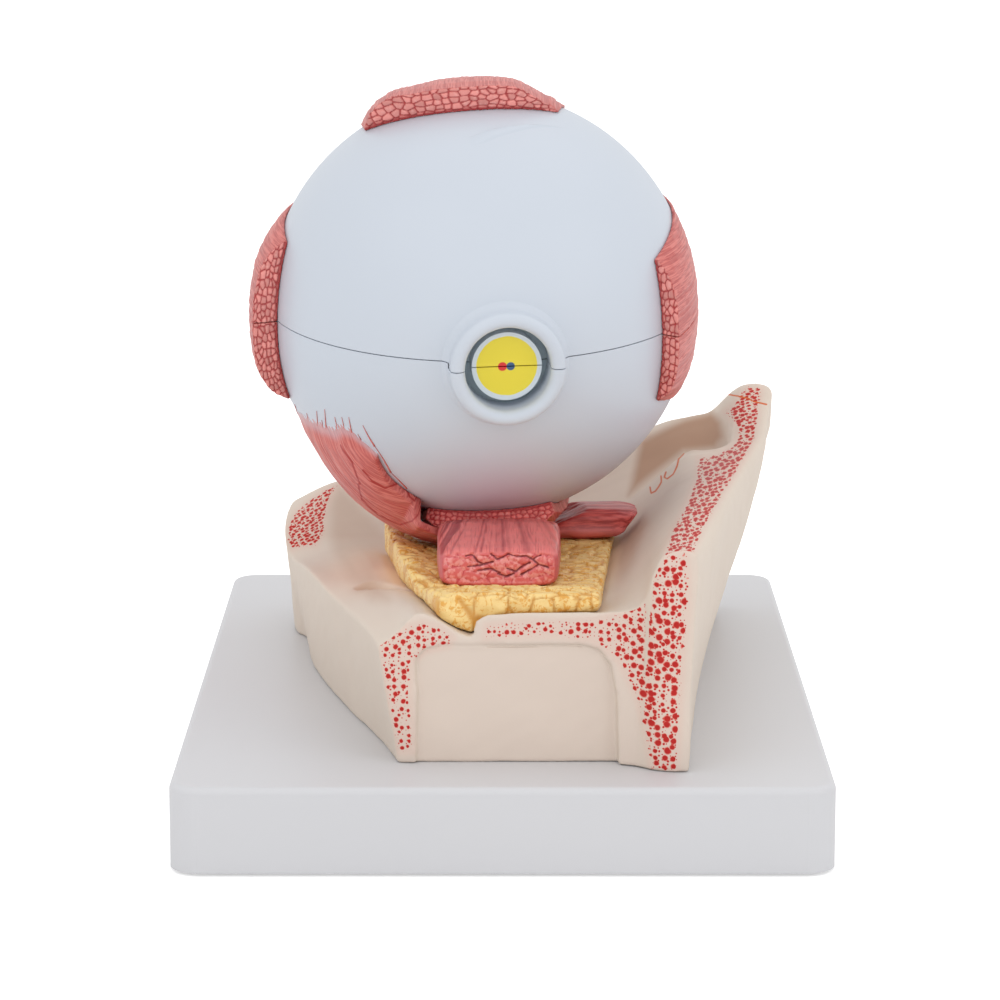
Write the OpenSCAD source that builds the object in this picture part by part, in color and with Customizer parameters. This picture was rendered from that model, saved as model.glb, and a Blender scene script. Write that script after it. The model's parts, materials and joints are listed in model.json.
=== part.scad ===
// Eye anatomy model, five times life size: an eyeball that comes apart in layers,
// resting in a bony orbit on a base board. Seen from behind, with the optic nerve
// toward -Y and the cornea toward +Y. Nasal side +X. Origin under the board's middle.

/* [Base] */
// Width of the base board, left to right
base_w = 182; // [160:1:220]
// Depth of the base board, front to back
base_d = 263; // [240:1:300]
// Height of the board's top above the table
base_top = 25; // [20:1:40]
// Plan radius of the board's corners
base_corner = 8; // [5:1:20]
// Rounding of the board's top edge
base_edge = 2; // [1:0.5:3]
// Wall of the moulded board
base_wall = 3; // [2.5:0.5:4]
// Thickness of the plate that closes the board from below
plate_t = 3; // [2.5:0.5:4]
// Gap between the plate and the board's wall
plate_gap = 0.3; // [0.1:0.1:0.6]
// Diameter of a rubber foot
foot_d = 16; // [10:1:24]
// How far the feet hold the board off the table
foot_lift = 1; // [0.5:0.5:3]
// Depth of a foot's recess in the plate
foot_seat = 1.5; // [1:0.25:2]
// Distance of a foot's or boss's middle from the board's sides
corner_inset = 16; // [14:1:30]
// Distance of a plate screw's boss from the feet, along the board
boss_step = 18; // [16:1:30]

/* [Eyeball shells] */
// Outside diameter of the eyeball
eye_d = 127; // [118:1:132]
// Wall of the sclera
sclera_wall = 4.2; // [3.5:0.1:5]
// Wall of the choroid with the retina
choroid_wall = 3; // [2.5:0.1:4]
// Clearance between the nested layers
layer_gap = 0.4; // [0.3:0.05:0.8]
// Width of the parting line between the upper and the lower half
seam_gap = 0.3; // [0.2:0.05:0.5]
// How far the sclera's parting line lies above the eye's middle, outside the collar
seam_rise = 1.4; // [0.5:0.1:2]
// Height of the sclera's lowest point above the board
eye_rest = 49.3; // [47:0.5:56]
// Eye's middle, to the right of the board's middle
eye_x = -6.5; // [-10:0.5:0]
// Eye's middle, behind the board's middle
eye_y = -2; // [-6:0.5:4]
// Tilt of the optical axis, front end up
eye_tilt = 7.5; // [4:0.5:12]
// Diameter of the seam's locating pins
seam_pin_d = 2.4; // [2:0.1:2.8]
// Length of a seam pin in each half
seam_pin_half = 5; // [3:0.5:7]
// Radial clearance of a pin in its socket
pin_play = 0.08; // [0.04:0.01:0.12]

/* [Cornea, iris and lens] */
// Diameter of the window that the cornea fills
cornea_d = 58; // [52:1:62]
// Outside radius of the cornea's dome
cornea_r = 41; // [38:0.5:46]
// Wall of the cornea
cornea_wall = 2.2; // [1.5:0.1:3]
// Depth of the cornea's skirt in the window
cornea_skirt = 3.6; // [2:0.2:4]
// Place of the iris along the optical axis, from the eye's middle
iris_y = 47.5; // [46:0.25:49]
// Thickness of the iris
iris_t = 2.5; // [1.5:0.25:3]
// Diameter of the pupil
pupil_d = 18; // [10:1:26]
// Diameter of the lens
lens_d = 46; // [40:1:48]
// Thickness of the lens's rim
lens_rim = 3; // [2:0.25:4]
// Radius of the lens's front face
lens_front_r = 50; // [44:1:60]
// Radius of the lens's rear face
lens_rear_r = 32; // [29:0.5:40]
// Place of the lens's rim along the optical axis
lens_y = 38; // [37:0.25:39]
// Clearance between the lens's rim and its groove
lens_play = 0.3; // [0.2:0.05:0.5]
// Height of the ciliary body around the lens's rim
ciliary_lip = 2; // [1.5:0.25:3]
// Folds of the ciliary body in each half
ciliary_folds = 20; // [12:1:30]
// Thickness of a ciliary fold
fold_t = 1.3; // [0.8:0.1:1.8]
// Distance of the vitreous body's flat front from the lens's rear
vitreous_clear = 0.7; // [0.4:0.1:2]

/* [Optic nerve] */
// Diameter of the optic nerve
nerve_d = 20; // [16:0.5:21]
// Turn of the nerve toward the nose
nerve_turn = 7; // [4:0.5:12]
// Inside diameter of the sclera's collar
collar_bore = 24.5; // [23:0.5:28]
// Wall of the collar
collar_wall = 4.3; // [3:0.1:6]
// How far the collar stands out from the sclera
collar_out = 5; // [3:0.5:9]
// Radius of the hollow fillet between the collar and the sclera
collar_fillet = 4.5; // [2:0.5:5]
// How far the nerve's end lies inside the collar's lip
nerve_recess = 5; // [2:0.5:6]

/* [Eye muscles] */
// Thickness of the superior rectus at its cut
superior_t = 7.6; // [6:0.2:9]
// Thickness of the lateral rectus at its cut
lateral_t = 7.6; // [5:0.2:9]
// Thickness of the medial rectus at its cut
medial_t = 6.6; // [5:0.2:9]
// Thickness of the inferior rectus at its cut
inferior_t = 6; // [4.5:0.5:7]
// Thickness of the inferior oblique where it passes below
oblique_t = 9.8; // [9:0.2:11]
// Thickness of a tendon where it ends on the sclera
tendon_t = 0.8; // [0.6:0.1:1.5]
// Gap between a muscle and what it lies on
muscle_gap = 0.15; // [0.12:0.01:0.3]
// Width of the cut inferior rectus that lies on the fat
stump_w = 36; // [28:1:38]
// Height of that stump's upper face above the fat, at its cut end
stump_h = 11.5; // [9:0.5:12]
// Cut end of the stump, in front of the eye's middle
stump_end = 68; // [60:1:72]
// Length of the inferior oblique's stump
oblique_len = 30; // [26:1:34]
// Width of the inferior oblique's stump
oblique_w = 20; // [16:1:24]
// Height of the inferior oblique's stump
oblique_h = 9; // [7:0.5:10]

/* [Orbit] */
// Height of the fat's level part above the board
fat_top = 41.5; // [40:0.5:43]
// Height of the fat's raised lateral edge above its level part
fat_rim = 4; // [2:0.5:5]
// Height of the fat's rear edge, where it lies on the bone's rear cut, above its level part
fat_lip = 5; // [3:0.5:6]
// Clearance between the resting eye and what carries it
rest_gap = 0.4; // [0.3:0.05:0.8]
// Gap between the fat and the bone
fat_gap = 0.2; // [0.1:0.05:0.3]
// Diameter of the peg that the eye stands on
peg_d = 8; // [6:0.5:10]
// Depth of the peg in the bone
peg_seat = 12; // [8:1:16]
// Depth of the peg in the sclera
peg_bite = 2.8; // [2:0.2:3]
// Radial clearance of the peg in the sclera
peg_play = 0.3; // [0.2:0.05:0.5]
// Height of the bone under the eye's lowest point, above the board
bowl_floor = 29; // [27:0.5:30]
// Depth of the maxillary sinus panel in the bone's rear face
sinus_depth = 1.2; // [0.6:0.2:3]
// Diameter of an orbit screw
orbit_screw_d = 4; // [3:0.5:5]
// Depth of an orbit screw in the bone
orbit_screw_bite = 14; // [10:1:18]
// Diameter of a plate screw
plate_screw_d = 3; // [2.5:0.5:3.5]

/* [Hidden] */
$fn = 96;

// Radii of the layers, from the outside in
eye_r = eye_d / 2;
sclera_in = eye_r - sclera_wall;
choroid_r = sclera_in - layer_gap;
choroid_in = choroid_r - choroid_wall;
vitreous_r = choroid_in - layer_gap;
// Centre of the eye above the table
eye_z = base_top + eye_rest + eye_r;

// Cornea: its edge lies on the sclera's outside
window_r = cornea_d / 2;
limbus_y = sqrt(pow(eye_r, 2) - pow(window_r, 2));
cornea_mid = limbus_y - sqrt(pow(cornea_r, 2) - pow(window_r, 2));

// Lens: depths of its two caps, and the flat front of the vitreous body behind it
lens_r = lens_d / 2;
front_cap = lens_front_r - sqrt(pow(lens_front_r, 2) - pow(lens_r, 2));
rear_cap = lens_rear_r - sqrt(pow(lens_rear_r, 2) - pow(lens_r, 2));
vitreous_front = lens_y - lens_rim / 2 - rear_cap - vitreous_clear;
groove_r = lens_r + lens_play;
groove_w = lens_rim + 2 * lens_play;

// Collar and nerve along their own axis
collar_r = collar_bore / 2 + collar_wall;
collar_end = eye_r + collar_out;
nerve_end = collar_end - nerve_recess;

// Seam pins stand in the middle of the sclera's wall
seam_pin_x = eye_r - sclera_wall / 2;

// Rests below the eye: the sphere that stays free for the muscles under it, and how far in
// front of the eye's middle the stump ends beside the cut of the inferior rectus
dish_r = eye_r + oblique_t + 3 * rest_gap;
inferior_cut = 34;
stump_break = (eye_r + inferior_t + rest_gap) * sin(inferior_cut - eye_tilt) + 2 * rest_gap;
far = 400;
tiny = 0.01;

// ---- Frames and small helpers ----

module in_eye() {
    translate([eye_x, eye_y, eye_z]) rotate([eye_tilt, 0, 0]) children();
}

// Keeps the half above or below the seam
module upper_half() {
    difference() {
        children();
        translate([-far / 2, -far / 2, seam_gap / 2 - far]) cube([far, far, far]);
    }
}

module lower_half() {
    difference() {
        children();
        translate([-far / 2, -far / 2, -seam_gap / 2]) cube([far, far, far]);
    }
}

// Room beside the collar where the sclera's seam comes down to the eye's middle
module seam_step(z, side) {
    rotate([0, 0, nerve_turn]) translate([-collar_r - side, -far, z]) cube([2 * (collar_r + side), far, far]);
}

// The sclera's halves: the seam lies higher outside the collar
module upper_shell_half() {
    difference() {
        children();
        difference() {
            translate([-far / 2, -far / 2, seam_rise + seam_gap / 2 - far]) cube([far, far, far]);
            seam_step(seam_gap / 2, -seam_gap / 2);
        }
    }
}

module lower_shell_half() {
    difference() {
        children();
        translate([-far / 2, -far / 2, seam_rise - seam_gap / 2]) cube([far, far, far]);
        seam_step(-seam_gap / 2, seam_gap / 2);
    }
}

// A cylinder along the optical axis, from y0 to y1
module axial(r, y0, y1) {
    translate([0, y0, 0]) rotate([-90, 0, 0]) cylinder(r = r, h = y1 - y0);
}

// A ball with its poles on the optical axis
module ball(r) {
    rotate([-90, 0, 0]) sphere(r);
}

// Turns +Z to the way out along the optic nerve
module along_nerve() {
    rotate([0, 0, nerve_turn]) rotate([90, 0, 0]) children();
}

function lerp(a, b, t) = a + (b - a) * t;
function smooth(t) = let (c = min(max(t, 0), 1)) c * c * (3 - 2 * c);
// Curve through b and c, with a and d as the neighbours
function through(a, b, c, d, t) =
    0.5 * (2 * b + (c - a) * t + (2 * a - 5 * b + 4 * c - d) * t * t + (3 * b - a - 3 * c + d) * t * t * t);
// The same curve at place v of a row of points, and its surface at place u, v of a net of rows
function on_row(row, v) =
    let (j = min(floor(v), len(row) - 2))
    through(row[max(j - 1, 0)], row[j], row[j + 1], row[min(j + 2, len(row) - 1)], v - j);
function on_net(net, u, v) =
    let (i = min(floor(u), len(net) - 2))
    through(on_row(net[max(i - 1, 0)], v), on_row(net[i], v), on_row(net[i + 1], v),
        on_row(net[min(i + 2, len(net) - 1)], v), u - i);
// Point on a sphere around the eye's middle: latitude toward the front, and turn about the optical axis
function eye_point(r, latitude, turn) =
    [r * cos(latitude) * cos(turn), r * sin(latitude), r * cos(latitude) * sin(turn)];

// Closed skin between a lower and an upper grid of points
module skin(lower, upper) {
    rows = len(upper);
    cols = len(upper[0]);
    n = rows * cols;
    edge = rim_of(rows, cols);
    polyhedron(
        points = concat([for (row = upper) each row], [for (row = lower) each row]),
        faces = concat(
            [for (i = [0 : rows - 2], j = [0 : cols - 2]) each
                let (a = i * cols + j, b = a + cols) [[a, b, b + 1], [a, b + 1, a + 1]]],
            [for (i = [0 : rows - 2], j = [0 : cols - 2]) each
                let (a = n + i * cols + j, b = a + cols) [[a, b + 1, b], [a, a + 1, b + 1]]],
            [for (k = [0 : len(edge) - 1]) each
                let (a = edge[k], b = edge[(k + 1) % len(edge)]) [[a, b, n + b], [a, n + b, n + a]]]
        )
    );
}

// Grid indices round the rim, front edge first
function rim_of(rows, cols) = concat(
    [for (j = [0 : cols - 1]) j],
    [for (i = [1 : rows - 1]) i * cols + cols - 1],
    [for (j = [cols - 2 : -1 : 0]) (rows - 1) * cols + j],
    [for (i = [rows - 2 : -1 : 1]) i * cols]
);

// ---- Base board ----

module plan(w, d, r) {
    union() {
        square([w - 2 * r, d], center = true);
        square([w, d - 2 * r], center = true);
        for (x = [-1, 1], y = [-1, 1]) translate([x * (w / 2 - r), y * (d / 2 - r)]) circle(r);
    }
}

// Slab with round corners and a rounded top edge
module board(w, d, h, corner, edge) {
    union() {
        linear_extrude(h - edge) plan(w, d, corner);
        linear_extrude(h) square([w - 2 * edge, d - 2 * corner], center = true);
        linear_extrude(h) square([w - 2 * corner, d - 2 * edge], center = true);
        translate([0, 0, h - edge]) {
            for (x = [-1, 1]) translate([x * (w / 2 - edge), corner - d / 2, 0])
                rotate([-90, 0, 0]) cylinder(r = edge, h = d - 2 * corner);
            for (y = [-1, 1]) translate([corner - w / 2, y * (d / 2 - edge), 0])
                rotate([0, 90, 0]) cylinder(r = edge, h = w - 2 * corner);
        }
        for (x = [-1, 1], y = [-1, 1]) translate([x * (w / 2 - corner), y * (d / 2 - corner), 0])
            rotate_extrude() union() {
                square([corner, h - edge]);
                square([corner - edge, h]);
                translate([corner - edge, h - edge]) circle(edge);
            }
    }
}

// The board's corners, and places of its feet and of the bosses for the plate's screws
corners = [[-1, -1], [1, -1], [1, 1], [-1, 1]];
foot_places = [for (c = corners) [c[0] * (base_w / 2 - corner_inset), c[1] * (base_d / 2 - corner_inset), 0]];
boss_places = [for (i = [0 : 3]) foot_places[i] - [0, corners[i][1] * boss_step, 0]];

module at_places(places) {
    for (p = places) translate(p) children();
}

// Places of the screws that hold the bone, on the board
orbit_screw_places = [[-22, -66, 0], [40, -66, 0], [2, 52, 0]];

boss_d = plate_screw_d + 6;
plate_head_d = 2 * plate_screw_d;
plate_head_h = plate_screw_d / 2;
plate_bite = 10;
screw_fit = 0.05;
orbit_head_d = 2 * orbit_screw_d;
orbit_head_h = 0.7 * orbit_screw_d;
ceiling = base_top - base_wall;

module base_shell() {
    color("whitesmoke") difference() {
        union() {
            difference() {
                translate([0, 0, foot_lift])
                    board(base_w, base_d, base_top - foot_lift, base_corner, base_edge);
                translate([0, 0, foot_lift - tiny]) linear_extrude(ceiling - foot_lift + tiny)
                    plan(base_w - 2 * base_wall, base_d - 2 * base_wall, base_corner - base_wall);
            }
            translate([0, 0, foot_lift + plate_t]) at_places(boss_places)
                cylinder(d = boss_d, h = ceiling - foot_lift - plate_t + tiny);
        }
        at_places(boss_places) translate([0, 0, foot_lift])
            cylinder(r = plate_screw_d / 2 + screw_fit, h = plate_t + plate_bite);
        at_places(orbit_screw_places) cylinder(r = orbit_screw_d / 2 + screw_fit, h = base_top + 1);
    }
}

module base_plate() {
    inset = base_wall + plate_gap;
    color("gainsboro") difference() {
        translate([0, 0, foot_lift]) linear_extrude(plate_t)
            plan(base_w - 2 * inset, base_d - 2 * inset, base_corner - inset);
        at_places(foot_places) cylinder(r = foot_d / 2 + screw_fit, h = foot_lift + foot_seat);
        at_places(boss_places) cylinder(r = plate_screw_d / 2 + screw_fit, h = base_top);
        at_places(boss_places) translate([0, 0, foot_lift - tiny])
            cylinder(r = plate_head_d / 2 + screw_fit, h = plate_head_h + tiny);
    }
}

// Flat head sunk in the plate, shank in the board's boss
module plate_screw(i) {
    color("silver") translate(boss_places[i]) translate([0, 0, foot_lift]) union() {
        cylinder(d = plate_head_d, h = plate_head_h);
        cylinder(d = plate_screw_d, h = plate_t + plate_bite - 1);
    }
}

module rubber_foot(i) {
    color("dimgray") translate(foot_places[i]) cylinder(d = foot_d, h = foot_lift + foot_seat);
}

// Head inside the board, shank up into the bone
module orbit_screw(i) {
    color("silver") translate(orbit_screw_places[i]) translate([0, 0, ceiling - orbit_head_h]) union() {
        cylinder(d = orbit_head_d, h = orbit_head_h);
        cylinder(d = orbit_screw_d, h = orbit_head_h + base_wall + orbit_screw_bite - 1);
    }
}

// ---- Bony orbit: sections across the bone, lofted from the rear cut to the front rim ----

// Each section: place along Y, then X and height above the board of twelve points, from
// the lateral edge over the bowl and the medial wall to the nasal side
bone_sections = [
    [-104, [[-34.5, 33], [-29, 37.2], [-22.3, 42.4], [-9, 35.3], [-4.5, 41.6], [27, 42.6],
        [38, 45], [41.5, 55.5], [45, 61], [52.9, 60.2], [52.3, 42], [51.6, 20]]],
    [-84, [[-38.5, 33.5], [-31, 37], [-23, 39.8], [-9, 34.5], [6, 36], [28, 39],
        [38, 46], [43.5, 54], [49, 60.3], [59.1, 60], [57.5, 42], [54.5, 20]]],
    [-44, [[-49.5, 33], [-42, 35.5], [-31.5, 37], [-11, 32], [10, 32], [30.5, 37.5],
        [40.5, 47.5], [48, 56], [55.5, 61.5], [65.7, 61.5], [64, 45], [60.3, 22.5]]],
    [0, [[-60, 32], [-49, 32], [-37.5, 35.5], [-13, 28.5], [11, 29], [34, 38.5],
        [44, 48.5], [53, 57.5], [62, 62], [73.3, 63], [73, 48], [69.3, 29.7]]],
    [36, [[-66.5, 27], [-56, 30.5], [-42, 31.5], [-15, 29], [14, 31], [40, 46],
        [56.8, 60], [63, 61], [70, 62], [81, 65], [80.5, 54], [77.3, 41]]],
    [46, [[-68.7, 32], [-57, 34], [-43, 33], [-16, 30], [15, 31], [41, 40],
        [54, 44], [66, 50], [72, 63], [82.4, 67], [82, 58], [80, 48]]],
    [60, [[-69, 36.5], [-57, 40.5], [-44, 39], [-18, 37], [15, 38], [44, 49],
        [56, 54], [67, 58], [74, 69], [84.3, 71], [84.2, 65], [83.5, 58]]],
    [72, [[-66, 38], [-54, 44], [-43, 44.5], [-20, 42], [15, 47], [48, 62],
        [60, 65.3], [68, 67.3], [76.5, 75.4], [85.3, 75.4], [86.3, 70], [85.8, 62]]],
    [84, [[-57, 30], [-47, 37], [-38, 38], [-18, 35], [14, 39], [44, 52],
        [56, 56], [64, 60], [71, 66], [79, 67], [79.5, 55], [77, 38]]]
];
// The bone's foot on the board: X of its lateral and nasal edge at each section
bone_foot = [[-29, 51.2], [-34.3, 53.3], [-46.5, 56.5], [-57.3, 60], [-61.2, 63.5], [-65.2, 64.8],
    [-66.5, 67.5], [-62, 69.3], [-54, 67]];
// How far the rear cut stands back at each of the twelve points, above and on the board
rear_top = [-1, -1, 0, 0, 0, -0.5, -3, -7, -9, -9.5, -10.5, -11.5];
rear_low = [-2, -3, -2.5, -2.5, -2.5, -3, -6, -8, -10.5, -12, -12, -12];
// Share of the foot's width at which each of the twelve points stands
foot_share = [0, 0.08, 0.17, 0.32, 0.45, 0.66, 0.8, 0.84, 0.88, 0.94, 0.97, 1];
bone_steps = 4;

bone_rows = len(bone_sections);
bone_cols = len(foot_share);
// Nets of the bone's upper surface and of its foot
bone_net = [for (i = [0 : bone_rows - 1]) [for (j = [0 : bone_cols - 1])
    let (s = bone_sections[i], p = s[1][j])
    [p[0], s[0] + (i == 0 ? rear_top[j] : 0), base_top + p[1]]]];
foot_net = [for (i = [0 : bone_rows - 1]) [for (j = [0 : bone_cols - 1])
    [lerp(bone_foot[i][0], bone_foot[i][1], foot_share[j]),
        bone_sections[i][0] + (i == 0 ? rear_low[j] : 0), base_top]]];

module bone_body() {
    rows = (bone_rows - 1) * bone_steps;
    cols = (bone_cols - 1) * bone_steps;
    skin(
        [for (i = [0 : rows]) [for (j = [0 : cols]) on_net(foot_net, i / bone_steps, j / bone_steps)]],
        [for (i = [0 : rows]) [for (j = [0 : cols]) on_net(bone_net, i / bone_steps, j / bone_steps)]]
    );
}

// Outline of the smooth sinus panel in the rear cut, X and height above the board; its
// lowest points lie below the board's top, so that the panel runs out at the foot
sinus_outline = [[-24, -5], [-23.6, 20], [-24, 29], [-21.5, 32], [-15, 33.2], [22, 33.4], [27, 32],
    [30, 28], [31.5, 20], [32, -5]];
// The rear cut at the panel's top, the height of that top, and the lean of the panel
sinus_rear = -104;
sinus_top = 33.4;
sinus_lean = -4;

// The infraorbital opening in the bowl's lateral side, and the groove that leads from it
foramen_place = [-40, -43, base_top + 38];
foramen_r = 4.4;
groove_slope = 97;
groove_turn = -42;
infra_groove_r = 3.2;
infra_groove_len = 19;

module bony_orbit() {
    color("antiquewhite") difference() {
        bone_body();
        translate([0, sinus_rear + sinus_depth, base_top + sinus_top]) rotate([sinus_lean, 0, 0])
            translate([0, -far / 2, -sinus_top]) rotate([-90, 0, 0])
            linear_extrude(far / 2) mirror([0, 1]) polygon(sinus_outline);
        translate([eye_x, eye_y, peg_foot]) cylinder(r = peg_d / 2 + screw_fit, h = far / 4);
        at_places(orbit_screw_places) translate([0, 0, base_top - 1])
            cylinder(r = orbit_screw_d / 2 + screw_fit, h = orbit_screw_bite + 1);
        translate(foramen_place) sphere(foramen_r);
        translate(foramen_place) rotate([0, groove_slope, groove_turn])
            cylinder(r = infra_groove_r, h = infra_groove_len);
    }
}

// ---- Orbital fat ----

// Part of the bone's net that the fat covers: its rear and front row, its lateral and nasal
// column, and how far the lateral edge turns in at the rear cut
fat_first = 0.25;
fat_last = 3.25;
fat_left = 2.12;
fat_right = 5;
fat_turn = 0.25;
// Where the fat rises to its rear edge, and over what length
lip_rear = -76;
lip_run = 12;

// Height of the fat's upper face: level, with raised lateral and rear edges, and dished below the eye
function fat_height(x, y, side) =
    let (
        edge = smooth(1 - 3.6 * side),
        lobes = 0.5 * sin(x * 22 + y * 7) * cos(y * 13),
        rise = max(fat_rim * smooth((y + 95) / 60) * edge, fat_lip * smooth((lip_rear - y) / lip_run)),
        level = base_top + fat_top + rise + (lobes - 0.5) * edge,
        reach = pow(dish_r, 2) - pow(x - eye_x, 2) - pow(y - eye_y, 2)
    )
    min(level, reach > 0 ? eye_z - sqrt(reach) : level);

// Point of the bone under the fat: u counts the bone's sections, side goes from the lateral edge to the nasal edge
function fat_foot(u, side) = on_net(bone_net, u, lerp(fat_left + fat_turn * smooth(1 - u), fat_right, side));

module fat_body() {
    rows = (fat_last - fat_first) * bone_steps;
    cols = 12;
    net = [for (i = [0 : rows]) [for (j = [0 : cols]) fat_foot(fat_first + i / bone_steps, j / cols)]];
    skin(
        [for (row = net) [for (p = row) p + [0, 0, fat_gap]]],
        [for (row = net) [for (j = [0 : cols])
            let (p = row[j]) [p[0], p[1], max(fat_height(p[0], p[1], j / cols), p[2] + fat_gap + 0.8)]]]
    );
}

module orbital_fat() {
    color("goldenrod") difference() {
        fat_body();
        translate([eye_x, eye_y, base_top]) cylinder(r = peg_d / 2 + peg_play, h = far / 4);
    }
}

// ---- What the eye rests on ----

// Peg from the bone into the sclera
peg_foot = base_top + bowl_floor - peg_seat;
peg_top = eye_z - eye_r + peg_bite;

module eye_peg() {
    color("white") translate([eye_x, eye_y, peg_foot]) cylinder(d = peg_d, h = peg_top - peg_foot);
}

// Section of a stump at one place along it: half width, underside, upper side. lean: how much
// farther back its upper side lies
function stump_ring(y, half, low, high, lean = 0, n = 24) =
    [for (k = [0 : n - 1])
        let (a = 360 * k / n, c = cos(a), s = sin(a), e = 0.4, up = sign(s) * pow(abs(s), e))
        [sign(c) * pow(abs(c), e) * half, y + lean * up / 2, (low + high + up * (high - low)) / 2]];

// Closed tube through rings that go along +Y
module tube(rings) {
    n = len(rings[0]);
    last = len(rings) - 1;
    polyhedron(
        points = [for (r = rings) each r],
        faces = concat(
            [[for (k = [n - 1 : -1 : 0]) k]],
            [for (i = [0 : last - 1], k = [0 : n - 1]) each
                let (a = i * n + k, b = i * n + (k + 1) % n) [[a, b, b + n], [a, b + n, a + n]]],
            [[for (k = [0 : n - 1]) last * n + k]]
        )
    );
}

// Top of the fat where the stumps lie on it
stump_low = base_top + fat_top + muscle_gap;

// Rings of the inferior rectus's stump: distance from its cut end, then how much narrower, how
// much higher below, and how much lower above it is than the full section
rectus_rings = [[-1.4, 3.6, 1.4, 1.6], [-0.6, 2, 0.5, 0.7], [1.2, 0.9, 0, 0.1], [6, 0.5, 0, -0.3],
    [15, 0.2, 0, -0.9], [27, 0, 0, -1.8]];
// The same for the oblique's stump, with the share of its length in place of the distance
oblique_rings = [[0, 1, 0, 0.6], [0.5, 0, 0, 0], [0.82, 0.2, 0.2, 0], [0.94, 0.8, 0.5, 0.3], [1, 2, 1.4, 1]];
// Place of the stumps beside the eye's middle, and how far the oblique's end leans back
rectus_aside = 5.5;
oblique_aside = [15, 4];
oblique_lean = 5;

module inferior_rectus_stump() {
    half = stump_w / 2;
    cut = eye_y - stump_end;
    high = stump_low + stump_h;
    color("lightcoral") difference() {
        translate([eye_x + rectus_aside, 0, 0]) tube(concat(
            [for (r = rectus_rings) stump_ring(cut + r[0], half - r[1], stump_low + r[2], high - r[3])],
            [stump_ring(eye_y - stump_break, half, stump_low, high + 1)]
        ));
        translate([eye_x, eye_y, eye_z]) sphere(eye_r + 2 * rest_gap);
    }
}

module inferior_oblique_stump() {
    color("indianred") difference() {
        translate([eye_x + oblique_aside[0], eye_y + oblique_aside[1], 0]) rotate([0, 0, -90]) tube([
            for (r = oblique_rings) stump_ring(r[0] * oblique_len, oblique_w / 2 - r[1], stump_low + r[2],
                stump_low + oblique_h - r[3], oblique_lean * r[0])
        ]);
        translate([eye_x, eye_y, eye_z]) sphere(eye_r + inferior_t + rest_gap);
    }
}

// ---- Sclera and cornea ----

// Ring with a round lip that holds the optic nerve's end, and a hollow fillet round its foot
module collar() {
    foot = collar_r + collar_fillet;
    foot_y = sqrt(pow(eye_r, 2) - pow(foot, 2));
    along_nerve() rotate_extrude() union() {
        translate([collar_bore / 2, sclera_in]) square([collar_wall, collar_end - collar_wall / 2 - sclera_in]);
        translate([collar_bore / 2 + collar_wall / 2, collar_end - collar_wall / 2]) circle(collar_wall / 2);
        difference() {
            translate([collar_r - tiny, foot_y - sclera_wall / 2])
                square([collar_fillet + tiny, collar_fillet + sclera_wall / 2]);
            translate([foot, foot_y + collar_fillet]) circle(collar_fillet);
        }
    }
}

module sclera() {
    difference() {
        union() {
            sphere(eye_r);
            collar();
        }
        sphere(sclera_in);
        axial(window_r + muscle_gap, 0, far / 4);
        along_nerve() cylinder(d = collar_bore, h = far / 4);
    }
}

module seam_sockets(play) {
    for (x = [-1, 1]) translate([x * seam_pin_x, 0, seam_rise - seam_pin_half])
        cylinder(r = seam_pin_d / 2 + play, h = 2 * seam_pin_half);
}

module sclera_lower() {
    color("aliceblue") in_eye() difference() {
        lower_shell_half() sclera();
        seam_sockets(pin_play / 4);
        rotate([-eye_tilt, 0, 0]) translate([0, 0, -eye_r - 1])
            cylinder(r = peg_d / 2 + peg_play, h = 1 + peg_bite + peg_play);
    }
}

module sclera_upper() {
    color("aliceblue") in_eye() difference() {
        upper_shell_half() sclera();
        seam_sockets(pin_play);
    }
}

// Pin on one side of the seam: -1 lateral, 1 medial
module seam_pin(side) {
    color("silver") in_eye() translate([side * seam_pin_x, 0, seam_rise + pin_play - seam_pin_half])
        cylinder(d = seam_pin_d, h = 2 * (seam_pin_half - 2 * pin_play));
}

module cornea() {
    union() {
        intersection() {
            translate([0, cornea_mid, 0]) difference() {
                sphere(cornea_r);
                sphere(cornea_r - cornea_wall);
            }
            axial(window_r, limbus_y, far / 4);
        }
        difference() {
            axial(window_r, limbus_y - cornea_skirt, limbus_y + tiny);
            axial(window_r - cornea_wall, 0, far / 4);
        }
    }
}

module cornea_lower() {
    color("lightcyan", 0.4) in_eye() lower_half() cornea();
}

module cornea_upper() {
    color("lightcyan", 0.4) in_eye() upper_half() cornea();
}

// ---- Choroid with retina, iris, ciliary body and optic nerve ----

module choroid() {
    difference() {
        ball(choroid_r);
        ball(choroid_in);
        translate([-far / 2, iris_y, -far / 2]) cube([far, far, far]);
    }
}

module choroid_lower() {
    color("firebrick") in_eye() lower_half() choroid();
}

module choroid_upper() {
    color("firebrick") in_eye() upper_half() choroid();
}

module iris() {
    difference() {
        intersection() {
            sphere(choroid_r);
            axial(choroid_r, iris_y, iris_y + iris_t);
        }
        axial(pupil_d / 2, 0, far / 4);
    }
}

module iris_lower() {
    color("steelblue") in_eye() lower_half() iris();
}

module iris_upper() {
    color("steelblue") in_eye() upper_half() iris();
}

// The lens, or the room for it when grown by a clearance
module lens_form(grow) {
    intersection() {
        translate([0, lens_y + lens_rim / 2 + front_cap - lens_front_r, 0]) ball(lens_front_r + grow);
        translate([0, lens_y - lens_rim / 2 - rear_cap + lens_rear_r, 0]) ball(lens_rear_r + grow);
        axial(lens_r + grow, 0, far / 4);
    }
}

// Wedge-shaped ring between the choroid and the lens's rim
ciliary_front = iris_y - muscle_gap;
ciliary_rear = lens_y - lens_rim / 2 - lens_play - ciliary_lip;
ciliary_root = sqrt(pow(choroid_in - muscle_gap, 2) - pow(ciliary_rear, 2));

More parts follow.
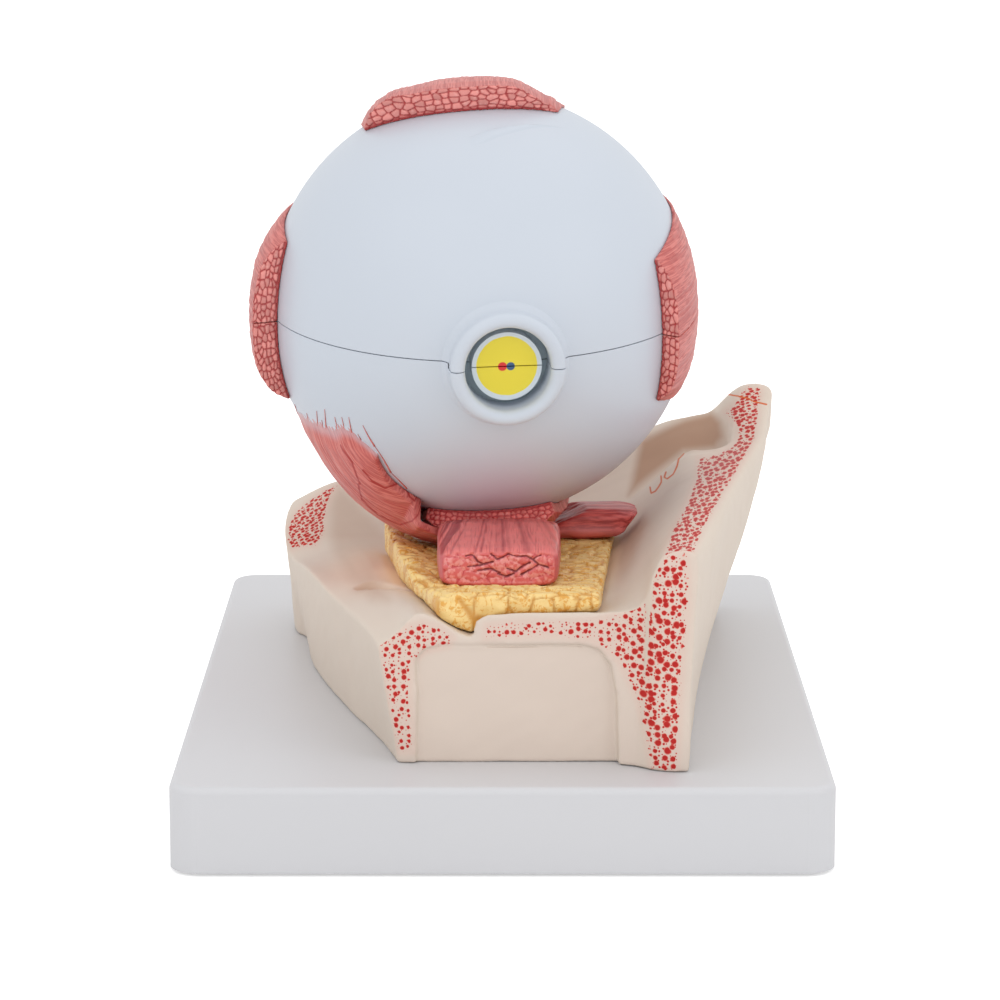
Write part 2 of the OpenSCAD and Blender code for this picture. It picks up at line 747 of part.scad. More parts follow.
module ciliary_ring() {
    rotate([-90, 0, 0]) rotate_extrude() polygon([
        [groove_r - 1, lens_y + groove_w / 2 + ciliary_lip],
        [groove_r - 1, ciliary_rear],
        [groove_r + 2, ciliary_rear],
        [ciliary_root + 2, ciliary_rear + 2.5],
        [ciliary_root + 2, ciliary_front],
        [groove_r + 5, ciliary_front],
        [groove_r + 2.2, lens_y + groove_w / 2 + ciliary_lip]
    ]);
}

// Radial folds that stand on the ring's rear face
module ciliary_fold() {
    translate([groove_r + 1.5, ciliary_rear - 1.6, -fold_t / 2])
        cube([ciliary_root - groove_r - 5, 4, fold_t]);
}

module ciliary_body() {
    difference() {
        intersection() {
            union() {
                ciliary_ring();
                for (k = [0 : 2 * ciliary_folds - 1]) rotate([0, 360 * (k + 0.5) / (2 * ciliary_folds), 0])
                    ciliary_fold();
            }
            sphere(choroid_in - muscle_gap);
        }
        lens_form(lens_play);
    }
}

module ciliary_body_lower() {
    color("saddlebrown") in_eye() lower_half() ciliary_body();
}

module ciliary_body_upper() {
    color("saddlebrown") in_eye() upper_half() ciliary_body();
}

module optic_nerve() {
    difference() {
        along_nerve() cylinder(d = nerve_d, h = nerve_end);
        sphere(choroid_r + muscle_gap);
    }
}

module optic_nerve_lower() {
    color("gold") in_eye() lower_half() optic_nerve();
}

module optic_nerve_upper() {
    color("gold") in_eye() upper_half() optic_nerve();
}

// ---- Clear bodies ----

module vitreous_body() {
    color("azure", 0.4) in_eye() difference() {
        ball(vitreous_r);
        translate([-far / 2, vitreous_front, -far / 2]) cube([far, far, far]);
    }
}

module lens() {
    color("lightyellow", 0.5) in_eye() lens_form(0);
}

// ---- Muscles on the sclera ----

// Angle that one step of a muscle's grid spans at most
grid_step = 5;
seam_angle = asin(seam_gap / 2 / eye_r);
seam_turn = asin(seam_rise / eye_r);

// A rectus muscle from its cut behind the equator to its tendon in front. mid: turn of its
// middle. over, under: half widths toward more and toward less turn. from, to: share of the
// width, -1 at the over edge and 1 at the under edge. shift: turn added for the seam. thin: how
// much of the thickness is lost at the edges, over the outermost share that sharp sets
module rectus(mid, over, under, cut, bow, end, thick, fall = 1, from = -1, to = 1, shift = 0, cols = 16,
        thin = 1, sharp = 4) {
    spread = 0.25;
    rows = ceil((end - cut) / grid_step);
    grid = [for (i = [0 : rows]) [for (j = [0 : cols])
        let (
            u = i / rows,
            v = lerp(from, to, j / cols),
            turn = mid + shift - v * (v < 0 ? over : under) * (1 + spread * u),
            latitude = lerp(cut + bow * v * v, end, u),
            bulge = 1 - thin * pow(abs(v), sharp)
        )
        [latitude, turn, tendon_t + (thick - tendon_t) * pow(1 - u, fall) * bulge]]];
    skin(
        [for (row = grid) [for (p = row) eye_point(eye_r + muscle_gap, p[0], p[1])]],
        [for (row = grid) [for (p = row) eye_point(eye_r + muscle_gap + p[2], p[0], p[1])]]
    );
}

module superior_rectus() {
    color("lightcoral") in_eye() rectus(95, 27, 26, -12, 9, 38, superior_t, 1.2);
}

lateral = [180 - seam_turn, 24, 21.8, -21, 5, 34];
medial = [seam_turn, 22.8, 22.2, -34, 4, 24];

module lateral_rectus_lower() {
    color("lightcoral") in_eye() rectus(lateral[0], lateral[1], lateral[2], lateral[3], lateral[4], lateral[5],
        lateral_t, 1.3, to = 0, shift = seam_angle, cols = 8);
}

module lateral_rectus_upper() {
    color("lightcoral") in_eye() rectus(lateral[0], lateral[1], lateral[2], lateral[3], lateral[4], lateral[5],
        lateral_t, 1.3, from = 0, shift = -seam_angle, cols = 8);
}

module medial_rectus_upper() {
    color("lightcoral") in_eye() rectus(medial[0], medial[1], medial[2], medial[3], medial[4], medial[5],
        medial_t, 2.8, to = 0, shift = seam_angle, cols = 8);
}

module medial_rectus_lower() {
    color("lightcoral") in_eye() rectus(medial[0], medial[1], medial[2], medial[3], medial[4], medial[5],
        medial_t, 2.8, from = 0, shift = -seam_angle, cols = 8);
}

module inferior_rectus() {
    color("lightcoral") in_eye() difference() {
        rectus(272, 20, 18, -inferior_cut, 5, 36, inferior_t, 0.8, thin = 0.5, sharp = 9);
        rotate([-eye_tilt, 0, 0]) translate([0, 0, -eye_r - 2 * inferior_t])
            cylinder(r = peg_d / 2 + peg_play, h = 3 * inferior_t);
    }
}

// Inferior oblique: from its fan on the lateral side to below the inferior rectus. Each
// step: turn, latitude of its rear edge and of its front edge, share of the full thickness
oblique_steps = [
    [207, -50, -14, 0.08], [217, -50, -10, 0.22], [227, -47, -6, 0.45],
    [237, -41, -3, 0.66], [247, -37, 0, 0.82], [257, -33, 2, 0.94], [264, -30, 4, 1]
];
oblique_turns = [for (s = oblique_steps) s[0]];
// Turn where it starts to rise under the inferior rectus, and over what turn it does so
oblique_rise = 247.5;
oblique_run = 4.5;

module inferior_oblique() {
    rows = 8;
    cols = 14;
    // How far the oblique stands off to pass below the inferior rectus
    over_rectus = inferior_t + muscle_gap;
    turn_from = oblique_turns[0];
    turn_to = oblique_turns[len(oblique_turns) - 1];
    grid = [for (i = [0 : rows]) [for (j = [cols : -1 : 0])
        let (
            v = i / rows,
            turn = lerp(turn_from, turn_to, j / cols),
            rear = lookup(turn, [for (s = oblique_steps) [s[0], s[1]]]),
            front = lookup(turn, [for (s = oblique_steps) [s[0], s[2]]]),
            share = lookup(turn, [for (s = oblique_steps) [s[0], s[3]]]),
            lift = smooth((turn - oblique_rise) / oblique_run),
            bulge = 0.25 + 0.75 * (1 - pow(abs(2 * v - 1), 3))
        )
        [lerp(rear, front, v), turn, over_rectus * lift,
            max(tendon_t + (oblique_t * share - tendon_t) * bulge, (over_rectus + 1.5 + tendon_t) * lift)]]];
    color("indianred") in_eye() skin(
        [for (row = grid) [for (p = row) eye_point(eye_r + muscle_gap + p[2], p[0], p[1])]],
        [for (row = grid) [for (p = row) eye_point(eye_r + muscle_gap + p[3], p[0], p[1])]]
    );
}

// Superior oblique's tendon: a low fan that slips under the superior rectus
module superior_oblique() {
    rows = 8;
    cols = 7;
    rear = [[100, -40], [66, -16]];
    grid = [for (i = [0 : rows]) [for (j = [0 : cols])
        let (u = i / rows, v = j / cols)
        [lerp(lerp(rear[0][1], rear[1][1], v), lerp(-27, -10, v), u), lerp(rear[0][0], rear[1][0], v) - 3 * u]]];
    color("aliceblue") in_eye() skin(
        [for (row = grid) [for (p = row) eye_point(eye_r + muscle_gap, p[0], p[1])]],
        [for (row = grid) [for (p = row) eye_point(eye_r + muscle_gap + tendon_t / 2, p[0], p[1])]]
    );
}

base_shell();
base_plate();
plate_screw(0);  // plate_screw_1
plate_screw(1);  // plate_screw_2
plate_screw(2);  // plate_screw_3
plate_screw(3);  // plate_screw_4
rubber_foot(0);  // rubber_foot_1
rubber_foot(1);  // rubber_foot_2
rubber_foot(2);  // rubber_foot_3
rubber_foot(3);  // rubber_foot_4
orbit_screw(0);  // orbit_screw_1
orbit_screw(1);  // orbit_screw_2
orbit_screw(2);  // orbit_screw_3
bony_orbit();
orbital_fat();
inferior_rectus_stump();
inferior_oblique_stump();
eye_peg();
sclera_lower();
cornea_lower();
seam_pin(-1);  // seam_pin_lateral
seam_pin(1);  // seam_pin_medial
lateral_rectus_lower();
medial_rectus_lower();
inferior_rectus();
inferior_oblique();
choroid_lower();
ciliary_body_lower();
iris_lower();
optic_nerve_lower();
vitreous_body();
lens();
choroid_upper();
ciliary_body_upper();
iris_upper();
optic_nerve_upper();
sclera_upper();
cornea_upper();
lateral_rectus_upper();
medial_rectus_upper();
superior_rectus();
superior_oblique();
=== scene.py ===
"""Looks of the eye anatomy model: painted muscles, bone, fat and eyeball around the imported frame."""

import json
import math

import bpy
import numpy as np
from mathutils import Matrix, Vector

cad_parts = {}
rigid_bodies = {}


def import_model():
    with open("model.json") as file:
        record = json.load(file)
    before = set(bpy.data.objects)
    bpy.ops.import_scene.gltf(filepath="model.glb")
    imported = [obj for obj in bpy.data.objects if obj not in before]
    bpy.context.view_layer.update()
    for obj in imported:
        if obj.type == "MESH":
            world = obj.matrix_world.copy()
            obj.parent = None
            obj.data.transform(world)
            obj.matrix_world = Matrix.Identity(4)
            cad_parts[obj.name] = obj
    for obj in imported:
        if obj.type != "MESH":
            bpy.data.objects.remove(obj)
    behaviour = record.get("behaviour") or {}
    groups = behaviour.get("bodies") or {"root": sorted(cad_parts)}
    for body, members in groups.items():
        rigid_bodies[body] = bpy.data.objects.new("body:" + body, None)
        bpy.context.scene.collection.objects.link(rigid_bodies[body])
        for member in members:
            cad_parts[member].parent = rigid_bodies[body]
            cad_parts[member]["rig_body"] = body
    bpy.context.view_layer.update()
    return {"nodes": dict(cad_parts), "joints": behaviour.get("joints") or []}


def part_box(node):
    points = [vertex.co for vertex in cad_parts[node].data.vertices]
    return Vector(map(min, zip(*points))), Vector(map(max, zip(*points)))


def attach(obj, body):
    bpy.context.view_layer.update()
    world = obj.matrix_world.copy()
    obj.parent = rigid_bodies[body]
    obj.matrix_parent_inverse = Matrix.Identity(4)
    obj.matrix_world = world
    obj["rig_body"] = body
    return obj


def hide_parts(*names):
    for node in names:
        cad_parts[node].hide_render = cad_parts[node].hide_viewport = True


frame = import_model()
nodes = frame["nodes"]
MM = 0.001

# ---- Camera: fitted to the board's corners in the photograph ----

CAMERA_AT = Vector((-0.69, -1085.7, 301.2)) * MM
CAMERA_DOWN = math.radians(11.633)
CAMERA_LENS = 131.7
SENSOR = 36
# The picture is 1000 pixels wide and high; places in it are (u, v) from its upper left corner
PICTURE = 1000
PICTURE_MID = PICTURE / 2
FOCAL = CAMERA_LENS / SENSOR * PICTURE


def make_camera():
    data = bpy.data.cameras.new("camera")
    data.sensor_width = SENSOR
    data.lens = CAMERA_LENS
    data.clip_end = 20
    cam = bpy.data.objects.new("camera", data)
    cam.location = CAMERA_AT
    cam.rotation_euler = (math.pi / 2 - CAMERA_DOWN, 0, 0)
    bpy.context.scene.collection.objects.link(cam)
    bpy.context.scene.camera = cam


# ---- The eye's own frame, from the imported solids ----

low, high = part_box("choroid_upper")
choroid_r = (high.x - low.x) / 2
sclera_low, sclera_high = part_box("sclera_lower")
eye_r = (sclera_high.x - sclera_low.x) / 2
eye_mid = np.array([(low.x + high.x) / 2, low.y + choroid_r, sclera_low.z + eye_r])
lift = next(j for j in frame["joints"] if j["name"] == "upper_shell_lift")["axis"]
eye_up = np.array(lift)
eye_front = np.array([0, lift[2], -lift[1]])
eye_side = np.array([1.0, 0, 0])
eye_axes = np.array([eye_side, eye_front, eye_up]).T
NERVE_TURN = math.radians(7)
nerve_out = eye_side * math.sin(NERVE_TURN) - eye_front * math.cos(NERVE_TURN)
nerve_side = eye_side * math.cos(NERVE_TURN) + eye_front * math.sin(NERVE_TURN)


def in_eye(co):
    """Points in the eye's frame, in millimetres."""
    return (co - eye_mid) @ eye_axes / MM


def away(co):
    """Unit vectors from the eye's middle."""
    off = co - eye_mid
    return off / np.linalg.norm(off, axis=1)[:, None]


def on_sphere(co, middle_turn):
    """Height above the sclera, arc across from middle_turn and arc toward the front.

    All are in millimetres."""
    p = in_eye(co)
    r = np.linalg.norm(p, axis=1)
    turn = np.arctan2(p[:, 2], p[:, 0]) - math.radians(middle_turn)
    turn = (turn + math.pi) % (2 * math.pi) - math.pi
    latitude = np.arcsin(np.clip(p[:, 1] / r, -1, 1))
    radius = eye_r / MM
    return r - radius, turn * radius * np.cos(latitude), latitude * radius


# ---- Small numeric helpers ----

# Distance mark of places far from any painted line or border, in the marks' own unit
FAR = 9.0


def smooth(x, a, b):
    t = np.clip((x - a) / (b - a), 0, 1)
    return t * t * (3 - 2 * t)


def chance(a, b, seed):
    """A number from 0 to 1 that depends only on a, b and seed."""
    s = np.sin(a * 127.1 + b * 311.7 + seed * 74.7) * 43758.5453
    return s - np.floor(s)


def cells(a, b, size, seed, jitter=0.75):
    """Rounded cells in a plane: distance to the nearest edge, and a number of the cell's own."""
    ga, gb = a / size, b / size
    ia, ib = np.floor(ga), np.floor(gb)
    first = np.full(len(a), 9.0)
    second = np.full(len(a), 9.0)
    name = np.zeros(len(a))
    for da in (-1, 0, 1):
        for db in (-1, 0, 1):
            ca, cb = ia + da, ib + db
            pa = ca + 0.5 + (chance(ca, cb, seed) - 0.5) * jitter
            pb = cb + 0.5 + (chance(ca, cb, seed + 5) - 0.5) * jitter
            d = np.hypot(ga - pa, gb - pb)
            nearer = d < first
            second = np.where(nearer, first, np.minimum(second, d))
            name = np.where(nearer, chance(ca, cb, seed + 9), name)
            first = np.where(nearer, d, first)
    return (second - first) * size, name


def ripple(a, seed, wave):
    """Smooth one-dimensional noise from -1 to 1."""
    x = a / wave
    i = np.floor(x)
    f = x - i
    f = f * f * (3 - 2 * f)
    return 2 * (chance(i, 0 * i, seed) * (1 - f) + chance(i + 1, 0 * i, seed) * f) - 1


def noise2(a, b, seed, wave):
    """Smooth two-dimensional noise from -1 to 1."""
    x, y = a / wave, b / wave
    i, j = np.floor(x), np.floor(y)
    f, g = x - i, y - j
    f, g = f * f * (3 - 2 * f), g * g * (3 - 2 * g)
    low_row = chance(i, j, seed) * (1 - f) + chance(i + 1, j, seed) * f
    high_row = chance(i, j + 1, seed) * (1 - f) + chance(i + 1, j + 1, seed) * f
    return 2 * (low_row * (1 - g) + high_row * g) - 1


def seen_at(co):
    """Where points lie in the picture that the fitted camera takes."""
    off = (co - np.array(CAMERA_AT)) / MM
    deep = math.cos(CAMERA_DOWN) * off[:, 1] - math.sin(CAMERA_DOWN) * off[:, 2]
    up = math.sin(CAMERA_DOWN) * off[:, 1] + math.cos(CAMERA_DOWN) * off[:, 2]
    return PICTURE_MID + FOCAL * off[:, 0] / deep, PICTURE_MID - FOCAL * up / deep


def line_distance(a, b, line):
    """Distance of points (a, b) from a polyline."""
    near = np.full(len(a), 1e9)
    for (a0, b0), (a1, b1) in zip(line, line[1:]):
        da, db = a1 - a0, b1 - b0
        t = np.clip(((a - a0) * da + (b - b0) * db) / (da * da + db * db + 1e-12), 0, 1)
        near = np.minimum(near, np.hypot(a - a0 - t * da, b - b0 - t * db))
    return near


def depth_in(a, b, ring):
    """Distance of points (a, b) from a polygon's edge, positive inside."""
    within = np.zeros(len(a), bool)
    for (a0, b0), (a1, b1) in zip(ring, ring[1:] + ring[:1]):
        crosses = (b0 > b) != (b1 > b)
        with np.errstate(divide="ignore", invalid="ignore"):
            within ^= crosses & (a < (a1 - a0) * (b - b0) / (b1 - b0) + a0)
    return np.where(within, 1, -1) * line_distance(a, b, ring + ring[:1])


# ---- Meshes made from the frame's own solids ----


def sculpt(node, voxel, passes, relief):
    """A finer copy of a CAD node, remeshed, softened and worked by relief(co, normals).

    relief returns the push in millimetres, as vectors or as lengths along the normals, and a dict of
    point attributes."""
    source = nodes[node]
    piece = bpy.data.objects.new(node + "_form", source.data.copy())
    piece.data.materials.clear()
    bpy.context.scene.collection.objects.link(piece)
    remesh = piece.modifiers.new("remesh", "REMESH")
    remesh.mode = "VOXEL"
    remesh.voxel_size = voxel * MM
    if passes:
        soften = piece.modifiers.new("soften", "SMOOTH")
        soften.factor = 0.5
        soften.iterations = passes
    graph = bpy.context.evaluated_depsgraph_get()
    mesh = bpy.data.meshes.new_from_object(piece.evaluated_get(graph))
    piece.modifiers.clear()
    piece.data = mesh
    co = np.zeros(len(mesh.vertices) * 3, np.float32)
    mesh.vertices.foreach_get("co", co)
    co = co.reshape(-1, 3).astype(float)
    normals = np.zeros(len(mesh.vertices) * 3, np.float32)
    mesh.vertices.foreach_get("normal", normals)
    normals = normals.reshape(-1, 3).astype(float)
    push, marks = relief(co, normals)
    push = push if push.ndim == 2 else normals * push[:, None]
    mesh.vertices.foreach_set("co", (co + push * MM).astype(np.float32).ravel())
    for name, values in marks.items():
        kind = "FLOAT_VECTOR" if values.ndim == 2 else "FLOAT"
        key = "vector" if values.ndim == 2 else "value"
        attribute = mesh.attributes.new(name, kind, "POINT")
        attribute.data.foreach_set(key, values.astype(np.float32).ravel())
    mesh.shade_smooth()
    mesh.update()
    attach(piece, source["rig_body"])
    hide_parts(node)
    return piece


# ---- Materials ----


def linear(rgb):
    """Linear colour with alpha, from display levels of 0 to 255."""
    shares = [c / 255 for c in rgb]
    return tuple(c / 12.92 if c <= 0.04045 else ((c + 0.055) / 1.055) ** 2.4 for c in shares) + (1.0,)


class Paint:
    """A procedural material: a principled shader and short calls that add nodes to it."""

    def __init__(self, name, roughness=0.5, coat=0.0, specular=0.5):
        self.material = bpy.data.materials.new(name)
        self.material.use_nodes = True
        self.tree = self.material.node_tree
        self.shader = self.tree.nodes["Principled BSDF"]
        self.shader.inputs["Roughness"].default_value = roughness
        self.shader.inputs["Coat Weight"].default_value = coat
        self.shader.inputs["Coat Roughness"].default_value = 0.12
        self.shader.inputs["Specular IOR Level"].default_value = specular
        self.place = self.add("ShaderNodeTexCoord").outputs["Object"]

    def add(self, kind, values=None, **settings):
        made = self.tree.nodes.new(kind)
        for key, value in settings.items():
            setattr(made, key, value)
        for key, value in (values or {}).items():
            self.put(made.inputs[key], value)
        return made

    def put(self, socket, value):
        if isinstance(value, bpy.types.NodeSocket):
            self.tree.links.new(value, socket)
        else:
            socket.default_value = value

    def mark(self, name, vector=False):
        made = self.add("ShaderNodeAttribute", attribute_name=name)
        return made.outputs["Vector" if vector else "Fac"]

    def math(self, operation, a, b=0.0, c=0.0):
        return self.add("ShaderNodeMath", {0: a, 1: b, 2: c}, operation=operation).outputs[0]

    def times(self, a, b):
        return self.math("MULTIPLY", a, b)

    def vector(self, operation, a, b):
        made = self.add("ShaderNodeVectorMath", {0: a, 1: b}, operation=operation)
        return made.outputs["Value" if operation == "DOT_PRODUCT" else "Vector"]

    def stretch(self, vector, scale, turn=(0, 0, 0)):
        values = {"Vector": vector, "Scale": scale, "Rotation": turn}
        return self.add("ShaderNodeMapping", values).outputs[0]

    def noise(self, vector, scale, detail=3.0, rough=0.5, distortion=0.0):
        values = {"Vector": vector, "Scale": scale, "Detail": detail, "Roughness": rough}
        values["Distortion"] = distortion
        return self.add("ShaderNodeTexNoise", values).outputs["Fac"]

    def cells(self, vector, scale, feature="F1", flat=False, randomness=1.0):
        values = {"Vector": vector, "Scale": scale, "Randomness": randomness}
        dimensions = "2D" if flat else "3D"
        return self.add("ShaderNodeTexVoronoi", values, feature=feature, voronoi_dimensions=dimensions)

    def band(self, value, low_edge, high_edge):
        """0 below low_edge, 1 above high_edge, smooth between them; the edges may be swapped."""
        values = {"Value": value, "From Min": low_edge, "From Max": high_edge}
        return self.add("ShaderNodeMapRange", values, interpolation_type="SMOOTHSTEP").outputs[0]

    def mix(self, share, a, b):
        made = self.add("ShaderNodeMix", data_type="RGBA")
        self.put(made.inputs[0], share)
        self.put(made.inputs[6], a if isinstance(a, bpy.types.NodeSocket) else linear(a))
        self.put(made.inputs[7], b if isinstance(b, bpy.types.NodeSocket) else linear(b))
        return made.outputs[2]

    def along(self, direction):
        """Place along a direction from the eye's middle, in millimetres."""
        off = self.vector("SUBTRACT", self.place, tuple(eye_mid))
        return self.times(self.vector("DOT_PRODUCT", off, tuple(direction)), 1 / MM)

    def span(self, *parts):
        """Length of a vector given by its parts."""
        total = 0.0
        for part in parts:
            total = self.math("MULTIPLY_ADD", part, part, total)
        return self.math("SQRT", total)

    def near(self, side, up, at, radius):
        """1 inside a disc around at, given two places along axes, with a soft edge."""
        edge = 0.15
        from_mid = self.span(self.math("SUBTRACT", side, at[0]), self.math("SUBTRACT", up, at[1]))
        return self.band(from_mid, radius + edge, radius - edge)

    def colour(self, value):
        self.put(self.shader.inputs["Base Color"], value)

    def rough(self, value):
        self.put(self.shader.inputs["Roughness"], value)

    def bump(self, height, strength, distance):
        values = {"Height": height, "Strength": strength, "Distance": distance * MM}
        self.put(self.shader.inputs["Normal"], self.add("ShaderNodeBump", values).outputs[0])


# Edges of the CAD's own meshes stay sharp from this angle on, in degrees
SHARP_ANGLE = 35


def wear(node, material):
    """Gives a carried-over CAD node its material and smooth shading."""
    o = nodes[node]
    o.data.materials.clear()
    o.data.materials.append(material)
    o.data.shade_smooth()
    o.data.set_sharp_from_angle(angle=math.radians(SHARP_ANGLE))


def moulded(name, rgb, roughness, shift=0.05, grain=600.0):
    """Moulded plastic: a fine skin, slow changes of tone, and a roughness that varies."""
    p = Paint(name, roughness)
    slow = p.noise(p.place, 18.0, 2.0)
    fine = p.noise(p.place, grain, 2.0)
    darker = tuple(c * (1 - shift) for c in rgb)
    p.colour(p.mix(slow, darker, rgb))
    p.rough(p.math("MULTIPLY_ADD", slow, 0.12, roughness - 0.06))
    p.bump(fine, 0.12, 0.05)
    return p.material


def steel(name):
    p = Paint(name, 0.32)
    p.shader.inputs["Metallic"].default_value = 1.0
    streaks = p.noise(p.stretch(p.place, (900, 900, 60)), 1.0, 2.0)
    p.colour(p.mix(streaks, (150, 152, 156), (205, 207, 210)))
    p.bump(streaks, 0.1, 0.02)
    return p.material


def clear(name, rgb, ior=1.45):
    """Clear plastic with a faint tint."""
    p = Paint(name, 0.03)
    p.shader.inputs["Transmission Weight"].default_value = 0.9
    p.shader.inputs["IOR"].default_value = ior
    slow = p.noise(p.place, 30.0, 2.0)
    p.colour(p.mix(slow, rgb, tuple(min(255, c + 6) for c in rgb)))
    return p.material


SALMON = (232, 146, 138)
MORTAR = (176, 50, 50)
FIBRE = (212, 114, 106)
FIBRE_DARK = (168, 52, 50)


def sclera_colour(p):
    """Bluish white, turning pink toward the ball's underside in a painted reflection of the muscles
    below.
    """
    slow = p.noise(p.place, 14.0, 2.0)
    # Painted reflection: the underside takes a pink tone as if lit by the muscles beneath it
    below = p.band(p.along(eye_up), -18.0, -62.0)
    colour = p.mix(slow, (199, 206, 216), (204, 211, 221))
    return p.mix(p.times(below, 0.5), colour, (214, 198, 206)), slow


def muscle_paint(name, pale=FIBRE, dark=FIBRE_DARK, cell=SALMON, mortar=MORTAR, fringed=False):
    """Cobbled cut face and fibrous outside, from the marks that the reliefs below leave; the beads
    carry painted highlights.
    """
    p = Paint(name, 0.45, 0.12)
    grain = p.mark("grain", True)
    hair = p.noise(p.stretch(grain, (2.6, 0.12, 0.5)), 1.0, 4.0, 0.6)
    wide = p.noise(p.stretch(grain, (0.35, 0.08, 0.3)), 1.0, 2.0)
    outside = p.mix(p.band(hair, 0.38, 0.6), dark, pale)
    outside = p.mix(p.times(p.band(p.mark("fibre"), 0.15, -0.55), 0.6), outside, dark)
    outside = p.mix(p.times(wide, 0.35), outside, cell)
    spot = p.noise(p.place, 900.0, 3.0)
    darker, paler = tuple(c * 0.9 for c in cell), tuple(min(255, c * 1.06) for c in cell)
    bead = p.mix(p.mark("bead"), darker, paler)
    # Painted highlights: lighter spots on the beads
    bead = p.mix(p.times(p.band(spot, 0.5, 0.72), 0.45), bead, (242, 178, 170))
    face = p.mix(p.mark("mortar"), bead, mortar)
    face = p.mix(p.band(p.mark("rim"), 1.5, 0.5), face, tuple(c * 0.94 for c in mortar))
    colour = p.mix(p.mark("cut"), outside, face)
    colour = p.mix(p.times(p.band(p.mark("vessel"), 1.25, 0.45), 0.85), colour, (168, 30, 28))
    if fringed:
        # Fibres end in spikes of their own length, and the shell's colour shows between them
        fan = p.add("ShaderNodeSeparateXYZ", {0: p.mark("fan", True)}).outputs
        for width, reach, shift in ((1.35, 6.5, 0.0), (0.8, 4.0, 0.37)):
            row = p.math("MULTIPLY_ADD", fan[1], 1 / width, shift)
            white = p.add("ShaderNodeTexWhiteNoise", {"W": p.math("FLOOR", row)}, noise_dimensions="1D")
            own = white.outputs["Value"]
            aside = p.math("ABSOLUTE", p.math("MULTIPLY_ADD", p.math("FRACT", row), 2.0, -1.0))
            spike = p.times(p.times(own, own), p.math("SUBTRACT", 1.0, aside))
            here = p.band(p.math("MULTIPLY_ADD", spike, reach, fan[0]), -0.25, 0.25)
            if width > 1:
                inside = here
        inside = p.math("MAXIMUM", inside, here)
        shell = sclera_colour(p)[0]
        faint = p.times(p.band(fan[0], 4.0, 0.5), 0.35)
        colour = p.mix(faint, colour, shell)
        colour = p.mix(inside, shell, colour)
    p.colour(colour)
    p.bump(p.mix(p.mark("cut"), hair, spot), 0.3, 0.16)
    return p.material


def cobbles(middle_turn, size, seed, flat=0.68, tip=None, fuller=None):
    """Relief of a rectus: raised cells on its cut, and fine fibres outside.

    tip: the arc across beyond which the cut has fibres too. fuller(across): change of the height
    above the shell, as a share of it."""

    def relief(co, normals):
        height, across, forward = on_sphere(co, middle_turn)
        p = in_eye(co)
        outward = p / np.linalg.norm(p, axis=1)[:, None]
        n = normals @ eye_axes
        toward_back = -np.array([0, 1, 0]) + outward * outward[:, 1][:, None]
        toward_back /= np.linalg.norm(toward_back, axis=1)[:, None]
        cut = smooth((n * toward_back).sum(1), 0.35, 0.6)
        if tip:
            cut *= 1 - smooth(across * np.sign(tip), abs(tip) - 3, abs(tip) + 3)
        gap, name = cells(across, height / flat + 0.35 * size, size, seed, 0.7)
        mortar = 1 - smooth(gap, 0.12, 0.62)
        fibre = 0.7 * ripple(across + 0.12 * height, seed + 3, 0.85)
        fibre = fibre + 0.3 * ripple(across, seed + 4, 0.45)
        outer = smooth((n * outward).sum(1), 0.1, 0.5)
        push = cut * (0.5 * smooth(gap, 0.0, 0.85) - 0.45) + (1 - cut) * outer * 0.2 * fibre
        push = normals * push[:, None]
        if fuller:
            push += away(co) * (np.maximum(height - 0.3, 0) * fuller(across))[:, None]
        marks = {"cut": cut, "mortar": mortar, "bead": name, "fibre": fibre,
                 "grain": np.stack([across, forward, height], axis=1),
                 "vessel": np.full(len(co), FAR), "rim": height + (1 - cut) * FAR}
        return push, marks

    return relief


# Where the inferior oblique's fibres end on the ball, as the picture shows it: latitudes, and the
# turn of the last fibre at each, in degrees
FAN_END = (
    [-52, -49, -47, -45.9, -44.5, -41.5, -37, -33, -25, -17, -5],
    [236, 235, 228, 219, 214, 212, 213, 211, 209, 208.5, 208],
)


def oblique_relief(co, normals):
    """The fan thins out to the shell toward its end, and its fibres run around the ball."""
    height, across, forward = on_sphere(co, 235)
    arc = eye_r / MM * math.pi / 180
    latitude = forward / arc
    p = in_eye(co)
    turn = np.degrees(np.arctan2(p[:, 2], p[:, 0])) % 360
    past = turn - np.interp(latitude, *FAN_END)
    outward = p / np.linalg.norm(p, axis=1)[:, None]
    facing = ((normals @ eye_axes) * outward).sum(1)
    outer = smooth(facing, -0.1, 0.4)
    full = smooth(past, -2, 7)
    spread = forward + 1.1 * noise2(across, forward, 71, 14.0)
    fibre = 0.6 * ripple(spread, 72, 0.95) + 0.4 * ripple(spread, 73, 0.45)
    thin = 0.12 - 0.6 * smooth(-past, 1.5, 3.0)
    thin = np.where(facing > -0.4, thin, thin - 0.5)
    # Where the muscle leaves the shell to pass below the inferior rectus, its inner side stays down
    held = np.where(facing < -0.3, np.minimum(0.3 - height, 0), 0)
    held = held * smooth(turn, 244, 247) * smooth(turn, 252.5, 250)
    lower = np.where(turn < 240, np.minimum(thin - height, 0) * (1 - full), 0)
    raised = outer * (0.03 + 0.17 * full) * fibre
    push = away(co) * (lower + held)[:, None] + normals * raised[:, None]
    vessel = np.full(len(co), FAR)
    u, v = seen_at(co)
    for line in OBLIQUE_VESSELS:
        vessel = np.minimum(vessel, line_distance(u, v, line))
    # Short marks across the fibres, where the fan meets the muscles below
    tick = smooth(u, 414, 420) * smooth(v, 498, 503) * 0.8
    nothing = np.zeros(len(co))
    fibre = (1 - tick) * fibre + tick * ripple(across, 74, 0.9)
    marks = {"cut": nothing, "mortar": nothing, "bead": nothing, "rim": nothing + FAR, "vessel": vessel,
             "fibre": fibre, "grain": np.stack([spread, across, height], axis=1),
             "fan": np.stack([past, forward + 0.05 * across, nothing], axis=1)}
    return push, marks


